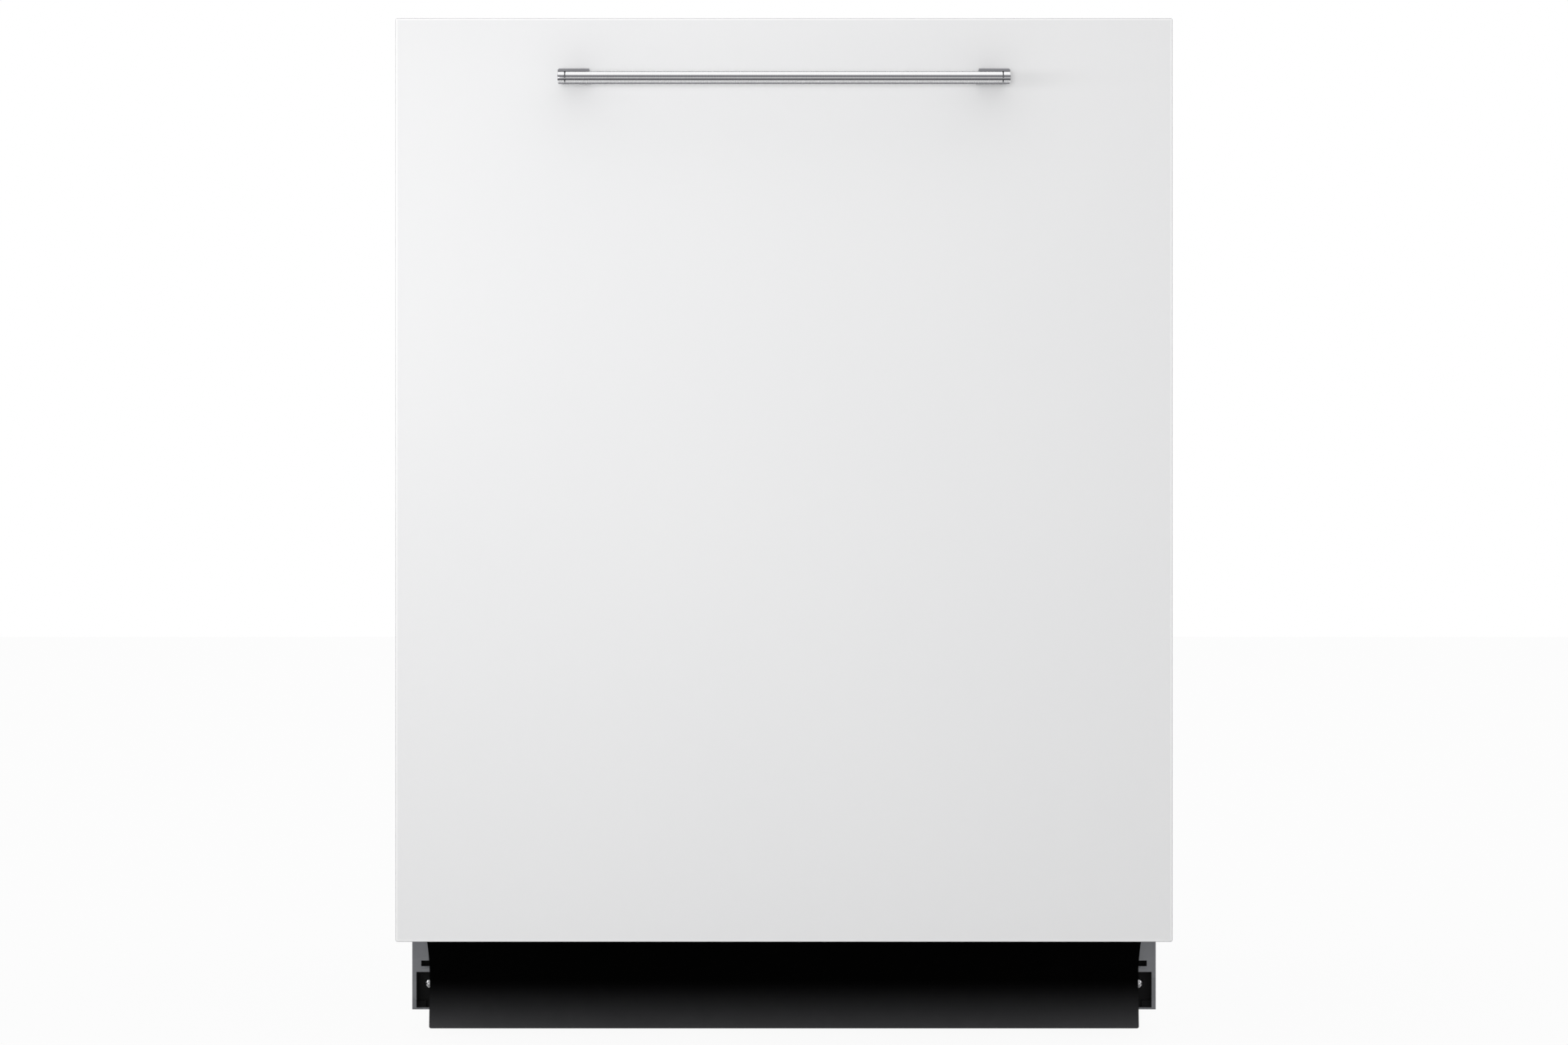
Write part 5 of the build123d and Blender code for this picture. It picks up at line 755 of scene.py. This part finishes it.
def eye_skin(x, y, z, radius, wire, steps=32, sides=12):
    """A closed wire eye: the wire's circle turned round X at the eye's radius."""
    circle = np.linspace(0, 2 * np.pi, sides + 1)
    section = np.stack([radius + wire * np.cos(circle), wire * np.sin(circle)], -1)
    return turned(section, steps, (x, y, z), 0)


for side, x in (("left", -SPRING_X), ("right", SPRING_X)):
    stems = [turned(sleeve(0, SPRING_WIRE, *ends), STEM_SIDES, (x, 0, SPRING_Z), 1) for ends in STEMS]
    eyes = [eye_skin(x, y, SPRING_Z, EYE_RADIUS, SPRING_WIRE) for y in SPRING_EYES]
    wound = coil_skin(x, SPRING_Z, *SPRING_COIL, SPRING_TURNS, SPRING_RADIUS, SPRING_WIRE)
    spring = put_together(f"balance_spring_{side}", [wound, *stems, *eyes], hinge_zinc)
    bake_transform(spring)
    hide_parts(f"door_spring_{side}")

# Door sheets. The outer pan is galvanised like the casing; the liner inside is drawn stainless like
# the tub. Between them sit the latch and, under the strip, a green board with copper tracks.
BOARD_TONES = ((0.020, 0.090, 0.045), (0.045, 0.170, 0.085))
TRACKS_PER_M = 160.0
TRACK_SHARE = 0.12

board_green, spot = new_finish("board_green")
tracks = spot.node("ShaderNodeTexBrick", {},
                   {"Vector": spot, "Scale": TRACKS_PER_M, "Mortar Size": TRACK_SHARE}, out="Fac")
spot.shade(tracks.mix(*BOARD_TONES), tracks * 0.1 + 0.3, tracks.bump(0.00003))
dress(casing_zinc, "outer_door")
dress(stainless, "inner_door")
dress(board_green, "control_board")

# Dispenser lid. A moulded flap on a barrel hinge, thrown open by a spring; a bead frames it, and
# three ridges by its free edge give the thumb a hold.
LID_X = -0.004
LID_Z = 0.4505
LID_HALF = (0.046, 0.0385)
LID_YS = (-0.2043, -0.1993)
LID_ROUND = (0.008, 0.0008)
BARREL_PLACE = (LID_X, -0.2013, 0.412)
BARREL_RADIUS = 0.003
PIN_RADIUS = 0.0015
PIN_HALF = 0.0514
BARREL_SIDES = 24
WEB_HEIGHT = 0.009
WEB_INSET = 0.0002
WEB_ROUND = (0.0008, 0.0006)
BEAD_MARGIN = 0.006
BEAD_CORNER = 0.005
BEAD = ((-0.0008, 0.0), (-0.0006, 0.0005), (0.0, 0.0008), (0.0006, 0.0005), (0.0008, 0.0))
RIDGE_ZS = (0.4690, 0.4725, 0.4760)
RIDGE_LOW = (0.020, 0.0003, 0.0007)
RIDGE_HIGH = (0.020, 0.0008, 0.0007)
RIDGE_ROUND = (0.0005, 0.0004)

half_x, half_z = LID_HALF
inner_y, outer_y = LID_YS
lid_plate = eased_blocks(
    (LID_X - half_x, inner_y, LID_Z - half_z), (LID_X + half_x, outer_y, LID_Z + half_z),
    *LID_ROUND, 1, 5)
lid_web = eased_blocks(
    (LID_X - half_x, inner_y + WEB_INSET, BARREL_PLACE[2]),
    (LID_X + half_x, outer_y - WEB_INSET, BARREL_PLACE[2] + WEB_HEIGHT), *WEB_ROUND, 0)
lid_rods = [turned(sleeve(0, radius, -half, half), BARREL_SIDES, BARREL_PLACE, 0)
            for radius, half in ((BARREL_RADIUS, half_x), (PIN_RADIUS, PIN_HALF))]
bead_edge = outline((half_x - BEAD_MARGIN, half_z - BEAD_MARGIN), BEAD_CORNER)
lid_bead = carried(bead_edge, BEAD, (LID_X, outer_y, LID_Z), 1)
ridges = np.array([(LID_X, outer_y, z) for z in RIDGE_ZS])
lid_ridges = eased_blocks(ridges - RIDGE_LOW, ridges + RIDGE_HIGH, *RIDGE_ROUND, 0)
lid_skins = [lid_plate, lid_web, *lid_rods, lid_bead, lid_ridges]
fit("ridged_dispenser_lid", lid_skins, light_plastic, "dispenser_lid", "light_plastic", "dispenser_lid")

# Display window. Smoked clear plastic let flush into the control strip, held by its own snug fit;
# wiping has left a haze on it.
SMOKE = (0.006, 0.007, 0.008)

display_glass, spot = new_finish("display_glass")
wiped = spot.noise(90.0, stretch=(0.2, 1.0, 1.0))
spot.shade(SMOKE, wiped * 0.12 + 0.04, coat=0.4)
dress(display_glass, "display_window")

# Furniture panel. A finished board, lacquered satin white on every face, with its edges eased by
# a millimetre. The spray coat has a faint orange peel; round the front's edge runs a painted grey shade and,
# just inside it, a painted white highlight.
PANEL_ROUND = (0.0014, 0.0010)
LACQUER_TONES = ((0.826, 0.828, 0.836), (0.843, 0.843, 0.846))
EDGE_RIM = 0.0006
EDGE_LINE = 0.0010
EDGE_SOFT = np.array([0.7, 1.3])
EDGE_SHADE_GREY = (0.66, 0.66, 0.67)
EDGE_HIGHLIGHT_WHITE = (0.95, 0.95, 0.95)

panel_lacquer, spot = new_finish("panel_lacquer")
peel = spot.noise(650.0, detail=1.0)
panel_low, panel_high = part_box("front_panel")
width = spot.along(0)
inside = panel_high.x - width.math("ABSOLUTE", width)
height = spot.along(2)
for distance in (height - panel_low.z, panel_high.z - height):
    inside = inside.math("MINIMUM", inside, distance)
# Painted shade and highlight on the front: a grey rim at the outer edge and a white line just inside it,
# where the eased edge turns.
front = 1.0 - spot.along(1).between(panel_low.y + EDGE_LINE, panel_low.y + 2 * EDGE_LINE)
past_rim = inside.between(*EDGE_RIM * EDGE_SOFT)
painted_edge_shade = front * (1.0 - past_rim)
painted_edge_highlight = front * past_rim * (1.0 - inside.between(*EDGE_RIM + EDGE_LINE * EDGE_SOFT))
coat = spot.noise(5.0).mix(*LACQUER_TONES)
spot.shade(
    painted_edge_shade.mix(painted_edge_highlight.mix(coat, EDGE_HIGHLIGHT_WHITE), EDGE_SHADE_GREY), peel * 0.05 + spot.noise(30.0) * 0.04 + 0.36,
    peel.bump(0.000012))
board_skin = eased_blocks(np.array(panel_low), np.array(panel_high), *PANEL_ROUND, 1)
fit("panel_board", [board_skin], panel_lacquer, "door", "panel_lacquer", "front_panel")

# Handle. A steel rod with a turned cap on each end behind a narrow groove, saddled on two cast
# posts. The rod is ground round and round, so fine rings cross it; bright and dark lengthwise bands of
# painted reflection run along it and its caps.
BAR_RADIUS = 0.0048
BAR_HALF = 0.1653
BAR_EDGE = 0.00025
BAR_MIDDLE = (0.0, -0.2986, 0.7483)
BAR_SIDES = 72
NECK_RADIUS = 0.0018
CAP_START = 0.1660
CAP_END = 0.1712
CAP_ROUND = 0.0012
CAP_FLAT = 0.6
RING_TONES = ((0.97, 0.97, 0.97), (1.0, 1.0, 1.0))
REFLECTION_BANDS = ((0.77, 0.22), (0.40, 0.05), (0.14, 0.11))
REFLECTION_CORE = 0.3
REFLECTION_TONES = ((0.19, 0.19, 0.205), (0.97, 0.97, 0.98))
POST_TONES = ((0.20, 0.20, 0.215), (0.30, 0.30, 0.315))

handle_steel, spot = new_finish("handle_steel")
# The base colour carries painted reflection: bright and dark lengthwise bands, set by height across the rod.
across = (spot.along(2) - BAR_MIDDLE[2]) / (2 * BAR_RADIUS) + 0.5
painted_reflection = 0.0
for middle, half in REFLECTION_BANDS:
    off = across - middle
    painted_reflection = painted_reflection + off.math("ABSOLUTE", off).between(half, half * REFLECTION_CORE)
reflection_bands = painted_reflection.mix(*REFLECTION_TONES)
rings = spot.noise(1300.0, stretch=(1.0, 0.05, 0.05), detail=2.0)
ringed = rings.between(0.2, 0.8).mix(*RING_TONES)
multiply = {"data_type": "RGBA", "blend_type": "MULTIPLY"}
spot.shade(
    reflection_bands.node("ShaderNodeMix", multiply, {0: 1.0, 6: reflection_bands, 7: ringed}, out=2), rings * 0.14 + 0.20,
    rings.bump(0.00001), metallic=1.0)
bar_profile = [(NECK_RADIUS, -CAP_START), (NECK_RADIUS, -BAR_HALF), (BAR_RADIUS - BAR_EDGE, -BAR_HALF),
               (BAR_RADIUS, BAR_EDGE - BAR_HALF)]
bar_profile += [(radius, -along) for radius, along in bar_profile[::-1]]
bar_skin = turned(bar_profile, BAR_SIDES, BAR_MIDDLE, 0)
fit("grip_bar", [bar_skin], handle_steel, "door", "handle_steel", "handle_bar")
cap_profile = np.vstack([
    [(NECK_RADIUS, CAP_START), (BAR_RADIUS - BAR_EDGE, CAP_START), (BAR_RADIUS, CAP_START + BAR_EDGE)],
    quarter((BAR_RADIUS - CAP_ROUND, CAP_END - CAP_ROUND), CAP_ROUND, 0, 6),
    [(BAR_RADIUS * CAP_FLAT, CAP_END), (0, CAP_END)],
])
cap_skins = [turned(cap_profile * (1, sign), BAR_SIDES, BAR_MIDDLE, 0) for sign in (-1, 1)]
fit("grip_caps", cap_skins, handle_steel, "door", "handle_steel", "handle_caps")

post_steel, spot = new_finish("post_steel")
satin = spot.noise(900.0, stretch=(0.05, 1.0, 1.0), detail=2.0)
spot.shade(satin.mix(*POST_TONES), satin * 0.12 + 0.28, satin.bump(0.00001), metallic=1.0)
dress(post_steel, "handle_post_left", "handle_post_right")

# Filter. A perforated stainless plate over the sump and, through its hole, a cartridge of moulded
# plastic with fine woven mesh; a quarter turn of its grip frees it.
HOLES_PER_M = 420.0
HOLE_EDGE = (0.28, 0.40)
HOLE_SHADE = (0.030, 0.030, 0.032)
MESH_PER_M = 1100.0
MESH_TOP = (0.1490, 0.1500)
MESH_TONES = ((0.17, 0.175, 0.18), (0.36, 0.365, 0.37))

perforated_steel, spot = new_finish("perforated_steel")
apart = spot.node("ShaderNodeTexVoronoi", {"voronoi_dimensions": "2D"},
                  {"Vector": spot, "Scale": HOLES_PER_M, "Randomness": 0.0}, out="Distance")
solid = apart.between(*HOLE_EDGE)
wiped = spot.noise(60.0)
# In the holes the colour is painted shade, dark and not metal, for the depth seen through them.
spot.shade(solid.mix(HOLE_SHADE, STEEL_TONES[1]), wiped * 0.16 + 0.24, solid.bump(0.0004), metallic=solid)
dress(perforated_steel, "filter_plate")

woven_plastic, spot = new_finish("woven_plastic")
weave = 0.5
for axis in range(3):
    place = spot.along(axis) * (2 * math.pi * MESH_PER_M)
    weave = weave * place.math("SINE", place)
weave = (weave + 0.5) * (1.0 - spot.along(2).between(*MESH_TOP))
spot.shade(
    (weave * 0.7 + spot.noise(25.0) * 0.4).mix(*MESH_TONES), weave * 0.2 + 0.4,
    weave.bump(0.0001))
dress(woven_plastic, "filter_cartridge")

# Spray arms. Two welded half shells each, hollow blades that taper towards their tips, on a round
# hub; every jet has a moulded collar, and the water's push on the jets turns the arm.
ARM_AXIS_Y = 0.04255
LOWER_ARM = (0.205, 0.166, 0.178)
UPPER_ARM = (0.175, 0.4427, 0.4547)
LOWER_HUB = (0.166, 0.184)
UPPER_HUB = (0.4397, 0.4577)
BLADE_ROOT = 0.0165
BLADE_HALF = 0.0230
BLADE_TAPER = 0.0080
BLADE_THIN = 0.25
BLADE_TIP = 0.0150
ARM_BORE = 0.0153
BORE_DEPTH = 0.0125
ARM_HUB_RADIUS = 0.0300
ARM_HUB_ROUND = 0.0030
HUB_SIDES = 64
DISH = (0.0120, 0.0105)
DISH_DEPTH = 0.0012
JET_COLLAR = ((0.0036, -0.0008), (0.0033, 0.0006), (0.0028, 0.0008), (0.0020, 0.00072), (0.0014, 0.0001),
              (0, 0.0001))
JET_RISE = 0.0008
JET_STEP = 0.0400
JET_SIDES = 16
WELD_PROUD = 0.0005
WELD_SECTION = ((0.002, -0.0006), (0, -0.0006), (0, 0.0006), (0.002, 0.0006), (0.002, -0.0006))


def blade_rise(share, low, high):
    """Half a blade's height at a share of its length: less the jets' rise, and thinner to the tip."""
    return ((high - low) / 2 - JET_RISE) * (1 - BLADE_THIN * share)


def blade_skins(reach, low, high, steps=32, sides=40):
    """Both blades of an arm along X. The section is a flattened oval, half width times cos to the 0.6
    and half height times sin to the 0.8; the width falls with the square of x and rounds off at the tip."""
    share = np.sin(np.linspace(0, np.pi / 2, steps + 1))
    x = BLADE_ROOT + (reach - BLADE_ROOT) * share
    tip = np.sqrt(1 - np.clip((x - reach + BLADE_TIP) / BLADE_TIP, 0, 1) ** 2)
    half = (BLADE_HALF - BLADE_TAPER * (x / reach) ** 2) * tip
    rise = blade_rise(share, low, high) * np.sqrt(tip)
    turn = np.linspace(0, 2 * np.pi, sides + 1)
    across = np.sign(np.cos(turn)) * np.abs(np.cos(turn)) ** 0.6
    over = np.sign(np.sin(turn)) * np.abs(np.sin(turn)) ** 0.8
    length = np.broadcast_to(x[:, None], (len(x), len(turn)))
    skin = np.stack([length, half[:, None] * across, rise[:, None] * over], -1)
    root = np.broadcast_to((BLADE_ROOT, 0, 0), skin[:1].shape)
    skin = np.concatenate([root, skin])
    return skin * np.array([(1, 1, 1), (-1, -1, 1)])[:, None, None] + (0, ARM_AXIS_Y, (low + high) / 2)


def seam_skins(reach, low, high):
    """The weld round both blades: the blade's outline at half height, a little proud, as a thin strip."""
    middle = (0, ARM_AXIS_Y, (low + high) / 2)
    skin = blade_skins(reach, low, high) - middle
    half = np.abs(skin[:, 1:, 0, 1:2]) + WELD_PROUD
    x = skin[:, 1:, 0, :1]
    strips = []
    for sign in (-1, 1):
        edge = np.concatenate([x, sign * half, np.zeros_like(x)], -1)[:, :-2, None]
        strips.append(edge + [(0, -sign * step, rise) for step, rise in WELD_SECTION])
    return np.concatenate(strips) + middle


def jet_skins(reach, low, high):
    """A collar round each jet: up its outer side, over a rounded lip and down a cone into the jet."""
    steps = np.arange(int((reach - BLADE_TIP - ARM_HUB_RADIUS) / JET_STEP) + 1)
    x = reach - BLADE_TIP - JET_STEP * steps
    top = (low + high) / 2 + blade_rise((x - BLADE_ROOT) / (reach - BLADE_ROOT), low, high)
    places = np.concatenate([np.stack([s * x, np.full_like(x, ARM_AXIS_Y), top], -1) for s in (-1, 1)])
    return turned(JET_COLLAR, JET_SIDES, (0, 0, 0)) + places[:, None, None]


def arm_sheets(arm, hub, bored_through):
    """Blades, weld seams, jets and the hub, a rounded disc whose bore is blind or goes through."""
    low, high = hub
    if bored_through:
        start = [(ARM_BORE, high), (ARM_BORE, low)]
        end = [(ARM_BORE, high)]
    else:
        start = [(0, low + BORE_DEPTH), (ARM_BORE, low + BORE_DEPTH), (ARM_BORE, low)]
        end = [(DISH[0], high), (DISH[1], high - DISH_DEPTH), (0, high - DISH_DEPTH)]
    profile = np.vstack([start, round_rim(ARM_HUB_RADIUS, low, high, ARM_HUB_ROUND), end])
    hub_skin = turned(profile, HUB_SIDES, (0, ARM_AXIS_Y, 0))
    return [blade_skins(*arm), seam_skins(*arm), jet_skins(*arm), hub_skin]


fit("lower_wash_arm", arm_sheets(LOWER_ARM, LOWER_HUB, False), grey_plastic,
    "lower_spray_arm", "grey_plastic", "lower_spray_arm")
fit("upper_wash_arm", arm_sheets(UPPER_ARM, UPPER_HUB, True), grey_plastic,
    "upper_spray_arm", "grey_plastic", "upper_spray_arm")
dress(grey_plastic, "upper_feed_tube")

# Racks. Steel wire bent into open baskets, spot welded where wires cross and dipped in grey nylon,
# which rounds every joint; a moulded rail on each side runs in the tub's glides.
WIRE = 0.0020
THIN_WIRE = 0.0015
RIM_SIDES = 12
WIRE_BEND = 0.014
RACK_HALF = 0.240
RACK_FRONT = -0.136
RACK_REAR = 0.235
RACK_ROUND = 0.016
CROSS_YS = np.linspace(-0.112, 0.211, 8)
LONG_XS = np.linspace(-0.216, 0.216, 8)
LONG_RISE = 0.003
RAIL_YS = (-0.130, 0.240)
RAIL_HEAD = (0.259, 0.266, 0.006, 0.0020, 0.0012)
RAIL_WEB = (0.238, 0.2605, 0.002, 0.0012, 0.0008)
LOWER_RACK = (0.212, 0.330, 0.300)
UPPER_RACK = (0.490, 0.596, 0.562)
NYLON_TONES = ((0.400, 0.410, 0.425), (0.500, 0.510, 0.525))


def hoop(axis, start, end, painted_edge_shade, floor, bend, steps=6):
    """A path along X (0) or Y (1) from the rim to the floor and back, its corners quarter circles: from
    the corner, back by the bend and in by the bend, then sin and cos of the turn along both runs."""
    corners = np.zeros((4, 3))
    corners[:, axis] = start, start, end, end
    corners[:, 2] = painted_edge_shade, floor, floor, painted_edge_shade
    runs = np.diff(corners, axis=0)
    runs /= np.linalg.norm(runs, axis=1, keepdims=True)
    turn = np.linspace(0, np.pi / 2, steps + 1)[None, :, None]
    back, on = runs[:-1, None], runs[1:, None]
    arcs = corners[1:-1, None] + bend * (on - back + np.sin(turn) * back - np.cos(turn) * on)
    return np.vstack([corners[:1], arcs.reshape(-1, 3), corners[-1:]])


def wire_skin(path, across, radius, sides=10):
    """A wire along a flat path: a circle between the direction across the path's plane and the one
    square to the run, drawn in over the last radius to a rounded end."""
    path = np.asarray(path, dtype=float)
    run = np.gradient(path, axis=0)
    run /= np.linalg.norm(run, axis=1, keepdims=True)
    tilt = np.linspace(0, np.pi / 2, 4)
    swell = np.concatenate([np.sin(tilt), np.ones(len(path)), np.cos(tilt)]) * radius
    shift = np.concatenate([-np.cos(tilt), np.zeros(len(path)), np.sin(tilt)]) * radius
    path = np.concatenate([path[:1].repeat(4, 0), path, path[-1:].repeat(4, 0)])
    run = np.concatenate([run[:1].repeat(4, 0), run, run[-1:].repeat(4, 0)])
    across = np.broadcast_to(np.asarray(across, dtype=float), path.shape)
    square = np.cross(run, across)
    turn = np.linspace(0, 2 * np.pi, sides + 1)[:, None]
    circle = np.cos(turn) * across[:, None] + np.sin(turn) * square[:, None]
    return path[:, None] + shift[:, None, None] * run[:, None] + swell[:, None, None] * circle


def copies(skin, axis, steps):
    """Copies of a skin, each moved along the axis by one of the steps."""
    moves = np.zeros((len(steps), 1, 1, 3))
    moves[..., axis] = np.reshape(steps, (-1, 1, 1))
    return skin + moves


def rail_skin(section, height):
    """A rail's head or web on both sides, from its inner and outer X, half height, corner and ease."""
    inner, outer, half, corner, ease = section
    low, high = (inner, RAIL_YS[0], height - half), (outer, RAIL_YS[1], height + half)
    return eased_blocks(*both_sides(low, high), corner, ease, 1)


def rack_sheets(floor, top, rail):
    """Hoops across, hoops along with thinner ones between them, two rims round the sides, two rails."""
    across = hoop(0, -RACK_HALF, RACK_HALF, top, floor, WIRE_BEND)
    along = hoop(1, RACK_FRONT, RACK_REAR, top, floor + LONG_RISE, WIRE_BEND)
    hoops = [
        copies(wire_skin(across, (0, 1, 0), WIRE), 1, CROSS_YS),
        copies(wire_skin(along, (1, 0, 0), WIRE), 0, LONG_XS),
        copies(wire_skin(along, (1, 0, 0), THIN_WIRE, 8), 0, (LONG_XS[1:] + LONG_XS[:-1]) / 2),
    ]
    turn = np.linspace(0, 2 * np.pi, RIM_SIDES + 1)
    ring = np.stack([WIRE * np.cos(turn), WIRE * np.sin(turn)], -1)
    edge = outline((RACK_HALF + LONG_RISE, (RACK_REAR - RACK_FRONT) / 2 + LONG_RISE), RACK_ROUND)
    middle = (RACK_FRONT + RACK_REAR) / 2
    rims = [carried(edge, ring, (0, middle, z), 2) for z in (top, (floor + top) / 2)]
    return [*hoops, *rims, rail_skin(RAIL_HEAD, rail), rail_skin(RAIL_WEB, rail)]


rack_nylon, spot = new_finish("rack_nylon")
dipped = spot.noise(160.0, detail=2.0)
spot.shade(spot.noise(30.0).mix(*NYLON_TONES), dipped * 0.16 + 0.30, dipped.bump(0.00012))
fit("lower_wire_rack", rack_sheets(*LOWER_RACK), rack_nylon, "lower_rack", "rack_wire", "lower_rack")
fit("upper_wire_rack", rack_sheets(*UPPER_RACK), rack_nylon, "upper_rack", "rack_wire", "upper_rack")

# Plate tines. Short straight wires welded upright on three of the lower rack's long wires, nylon
# dipped with it, so that their tips are round.
TINE_RADIUS = 0.0017
TINE_LOW = 0.2150
TINE_HIGH = 0.2990
TINE_FOOT = ((0, 0), (0.00255, 0.001), (TINE_RADIUS, 0.004))
TINE_SIDES = 12
TINE_XS = LONG_XS[[3, 5, 7]]
TINE_YS = -0.06586 + 0.042 * np.arange(6)

tine_foot = np.array(TINE_FOOT) + (0, TINE_LOW)
tine_tip = quarter((0, TINE_HIGH - TINE_RADIUS), TINE_RADIUS, 0, 4)
tine = turned(np.vstack([tine_foot, tine_tip]), TINE_SIDES, (0, 0, 0))
places = np.stack(np.meshgrid(TINE_XS, TINE_YS, [0.0]), -1).reshape(-1, 1, 1, 3)
fit("tine_rods", [tine + places], rack_nylon, "lower_rack", "rack_wire", "plate_tines")

# Cutlery basket. A grey polypropylene moulding of upright slats between three bands, with a slotted
# floor, cross walls that make four cells, and a bridge handle to lift it by.
BASKET_MIDDLE = np.array([-0.160, -0.062])
BASKET_HALF = np.array([0.058, 0.056])
BASKET_LOW = 0.2173
BASKET_HIGH = 0.3353
BASKET_WALL = 0.0024
BASKET_ROUND = 0.0060
BASKET_BANDS = ((0.2173, 0.2243), (0.2720, 0.2780), (0.3273, 0.3353))
SLAT = 0.0034
SLAT_STEP = 0.0088
SLAT_DEPTH = 0.00192
SLAT_ROUND = 0.0008
SLAT_EASE = 0.0004
SLAT_MARGIN = 0.002
BEAM_ZS = (0.2180, 0.2725, 0.3290)
BEAM_HEIGHT = 0.005
BRIDGE_HALF = 0.040
BRIDGE_TOP = 0.3653
BRIDGE_FOOT = 0.3293
BRIDGE_BAR = 0.008
BRIDGE_BEND = 0.011
BRIDGE_FLAT = 0.6
BASKET_TONES = ((0.155, 0.160, 0.170), (0.215, 0.220, 0.230))


def slats(first, last, low, high, along):
    """Upright slats in a wall between first and last along X (0) or Y (1): one eased block a step."""
    count = int((last[along] - first[along]) / SLAT_STEP)
    spots = np.linspace(first[along], last[along], count + 1)
    start = np.tile([*first, low], (count + 1, 1)).astype(float)
    end = np.tile([*last, high], (count + 1, 1)).astype(float)
    start[:, along] = spots - SLAT / 2
    end[:, along] = spots + SLAT / 2
    return eased_blocks(start, end, SLAT_ROUND, SLAT_EASE, 2, 2)


basket_plastic, spot = new_finish("basket_plastic")
textured = spot.noise(1300.0)
spot.shade(spot.noise(22.0).mix(*BASKET_TONES), textured * 0.2 + 0.36, textured.bump(0.00005))
basket_skins = []
for low, high in BASKET_BANDS:
    section = [(-BASKET_WALL, low), (-SLAT_EASE, low), (0, low + SLAT_EASE), (0, high - SLAT_EASE),
               (-SLAT_EASE, high), (-BASKET_WALL, high), (-BASKET_WALL, low)]
    edge = outline(BASKET_HALF, BASKET_ROUND)
    basket_skins.append(carried(edge, section, (*BASKET_MIDDLE, 0), 2))
straight = BASKET_HALF - BASKET_ROUND
for along in (0, 1):
    across = 1 - along
    side = BASKET_HALF[across] - SLAT_DEPTH / 2
    for step in (-side, 0, side):
        first, last = BASKET_MIDDLE - straight, BASKET_MIDDLE + straight
        first[across] = BASKET_MIDDLE[across] + step - SLAT_DEPTH / 2
        last[across] = BASKET_MIDDLE[across] + step + SLAT_DEPTH / 2
        basket_skins.append(slats(first, last, BASKET_LOW + SLAT_MARGIN, BASKET_HIGH - SLAT_MARGIN, along))
    reach = BASKET_HALF - SLAT_DEPTH
    reach[across] = BASKET_WALL / 2
    beam_low = [(*(BASKET_MIDDLE - reach), z) for z in BEAM_ZS]
    beam_high = [(*(BASKET_MIDDLE + reach), z + BEAM_HEIGHT) for z in BEAM_ZS]
    basket_skins.append(eased_blocks(beam_low, beam_high, SLAT_ROUND, SLAT_EASE, 2, 2))
floor_half = np.array([straight[0], BASKET_HALF[1] - SLAT_DEPTH])
basket_skins.append(
    slats(BASKET_MIDDLE - floor_half, BASKET_MIDDLE + floor_half, BASKET_LOW, BASKET_LOW + BASKET_WALL, 0))
reach = BRIDGE_HALF - BRIDGE_BAR / 2
top = BRIDGE_TOP - BRIDGE_BAR / 2
stirrup = hoop(0, -reach, reach, BRIDGE_FOOT, top, BRIDGE_BEND, 10)
grip = wire_skin(stirrup, (0, 1, 0), BRIDGE_BAR / 2, 20) * (1, BRIDGE_FLAT, 1) + (*BASKET_MIDDLE, 0)
basket_skins.append(grip)
fit("slatted_basket", basket_skins, basket_plastic, "lower_rack", "grey_plastic", "cutlery_basket")
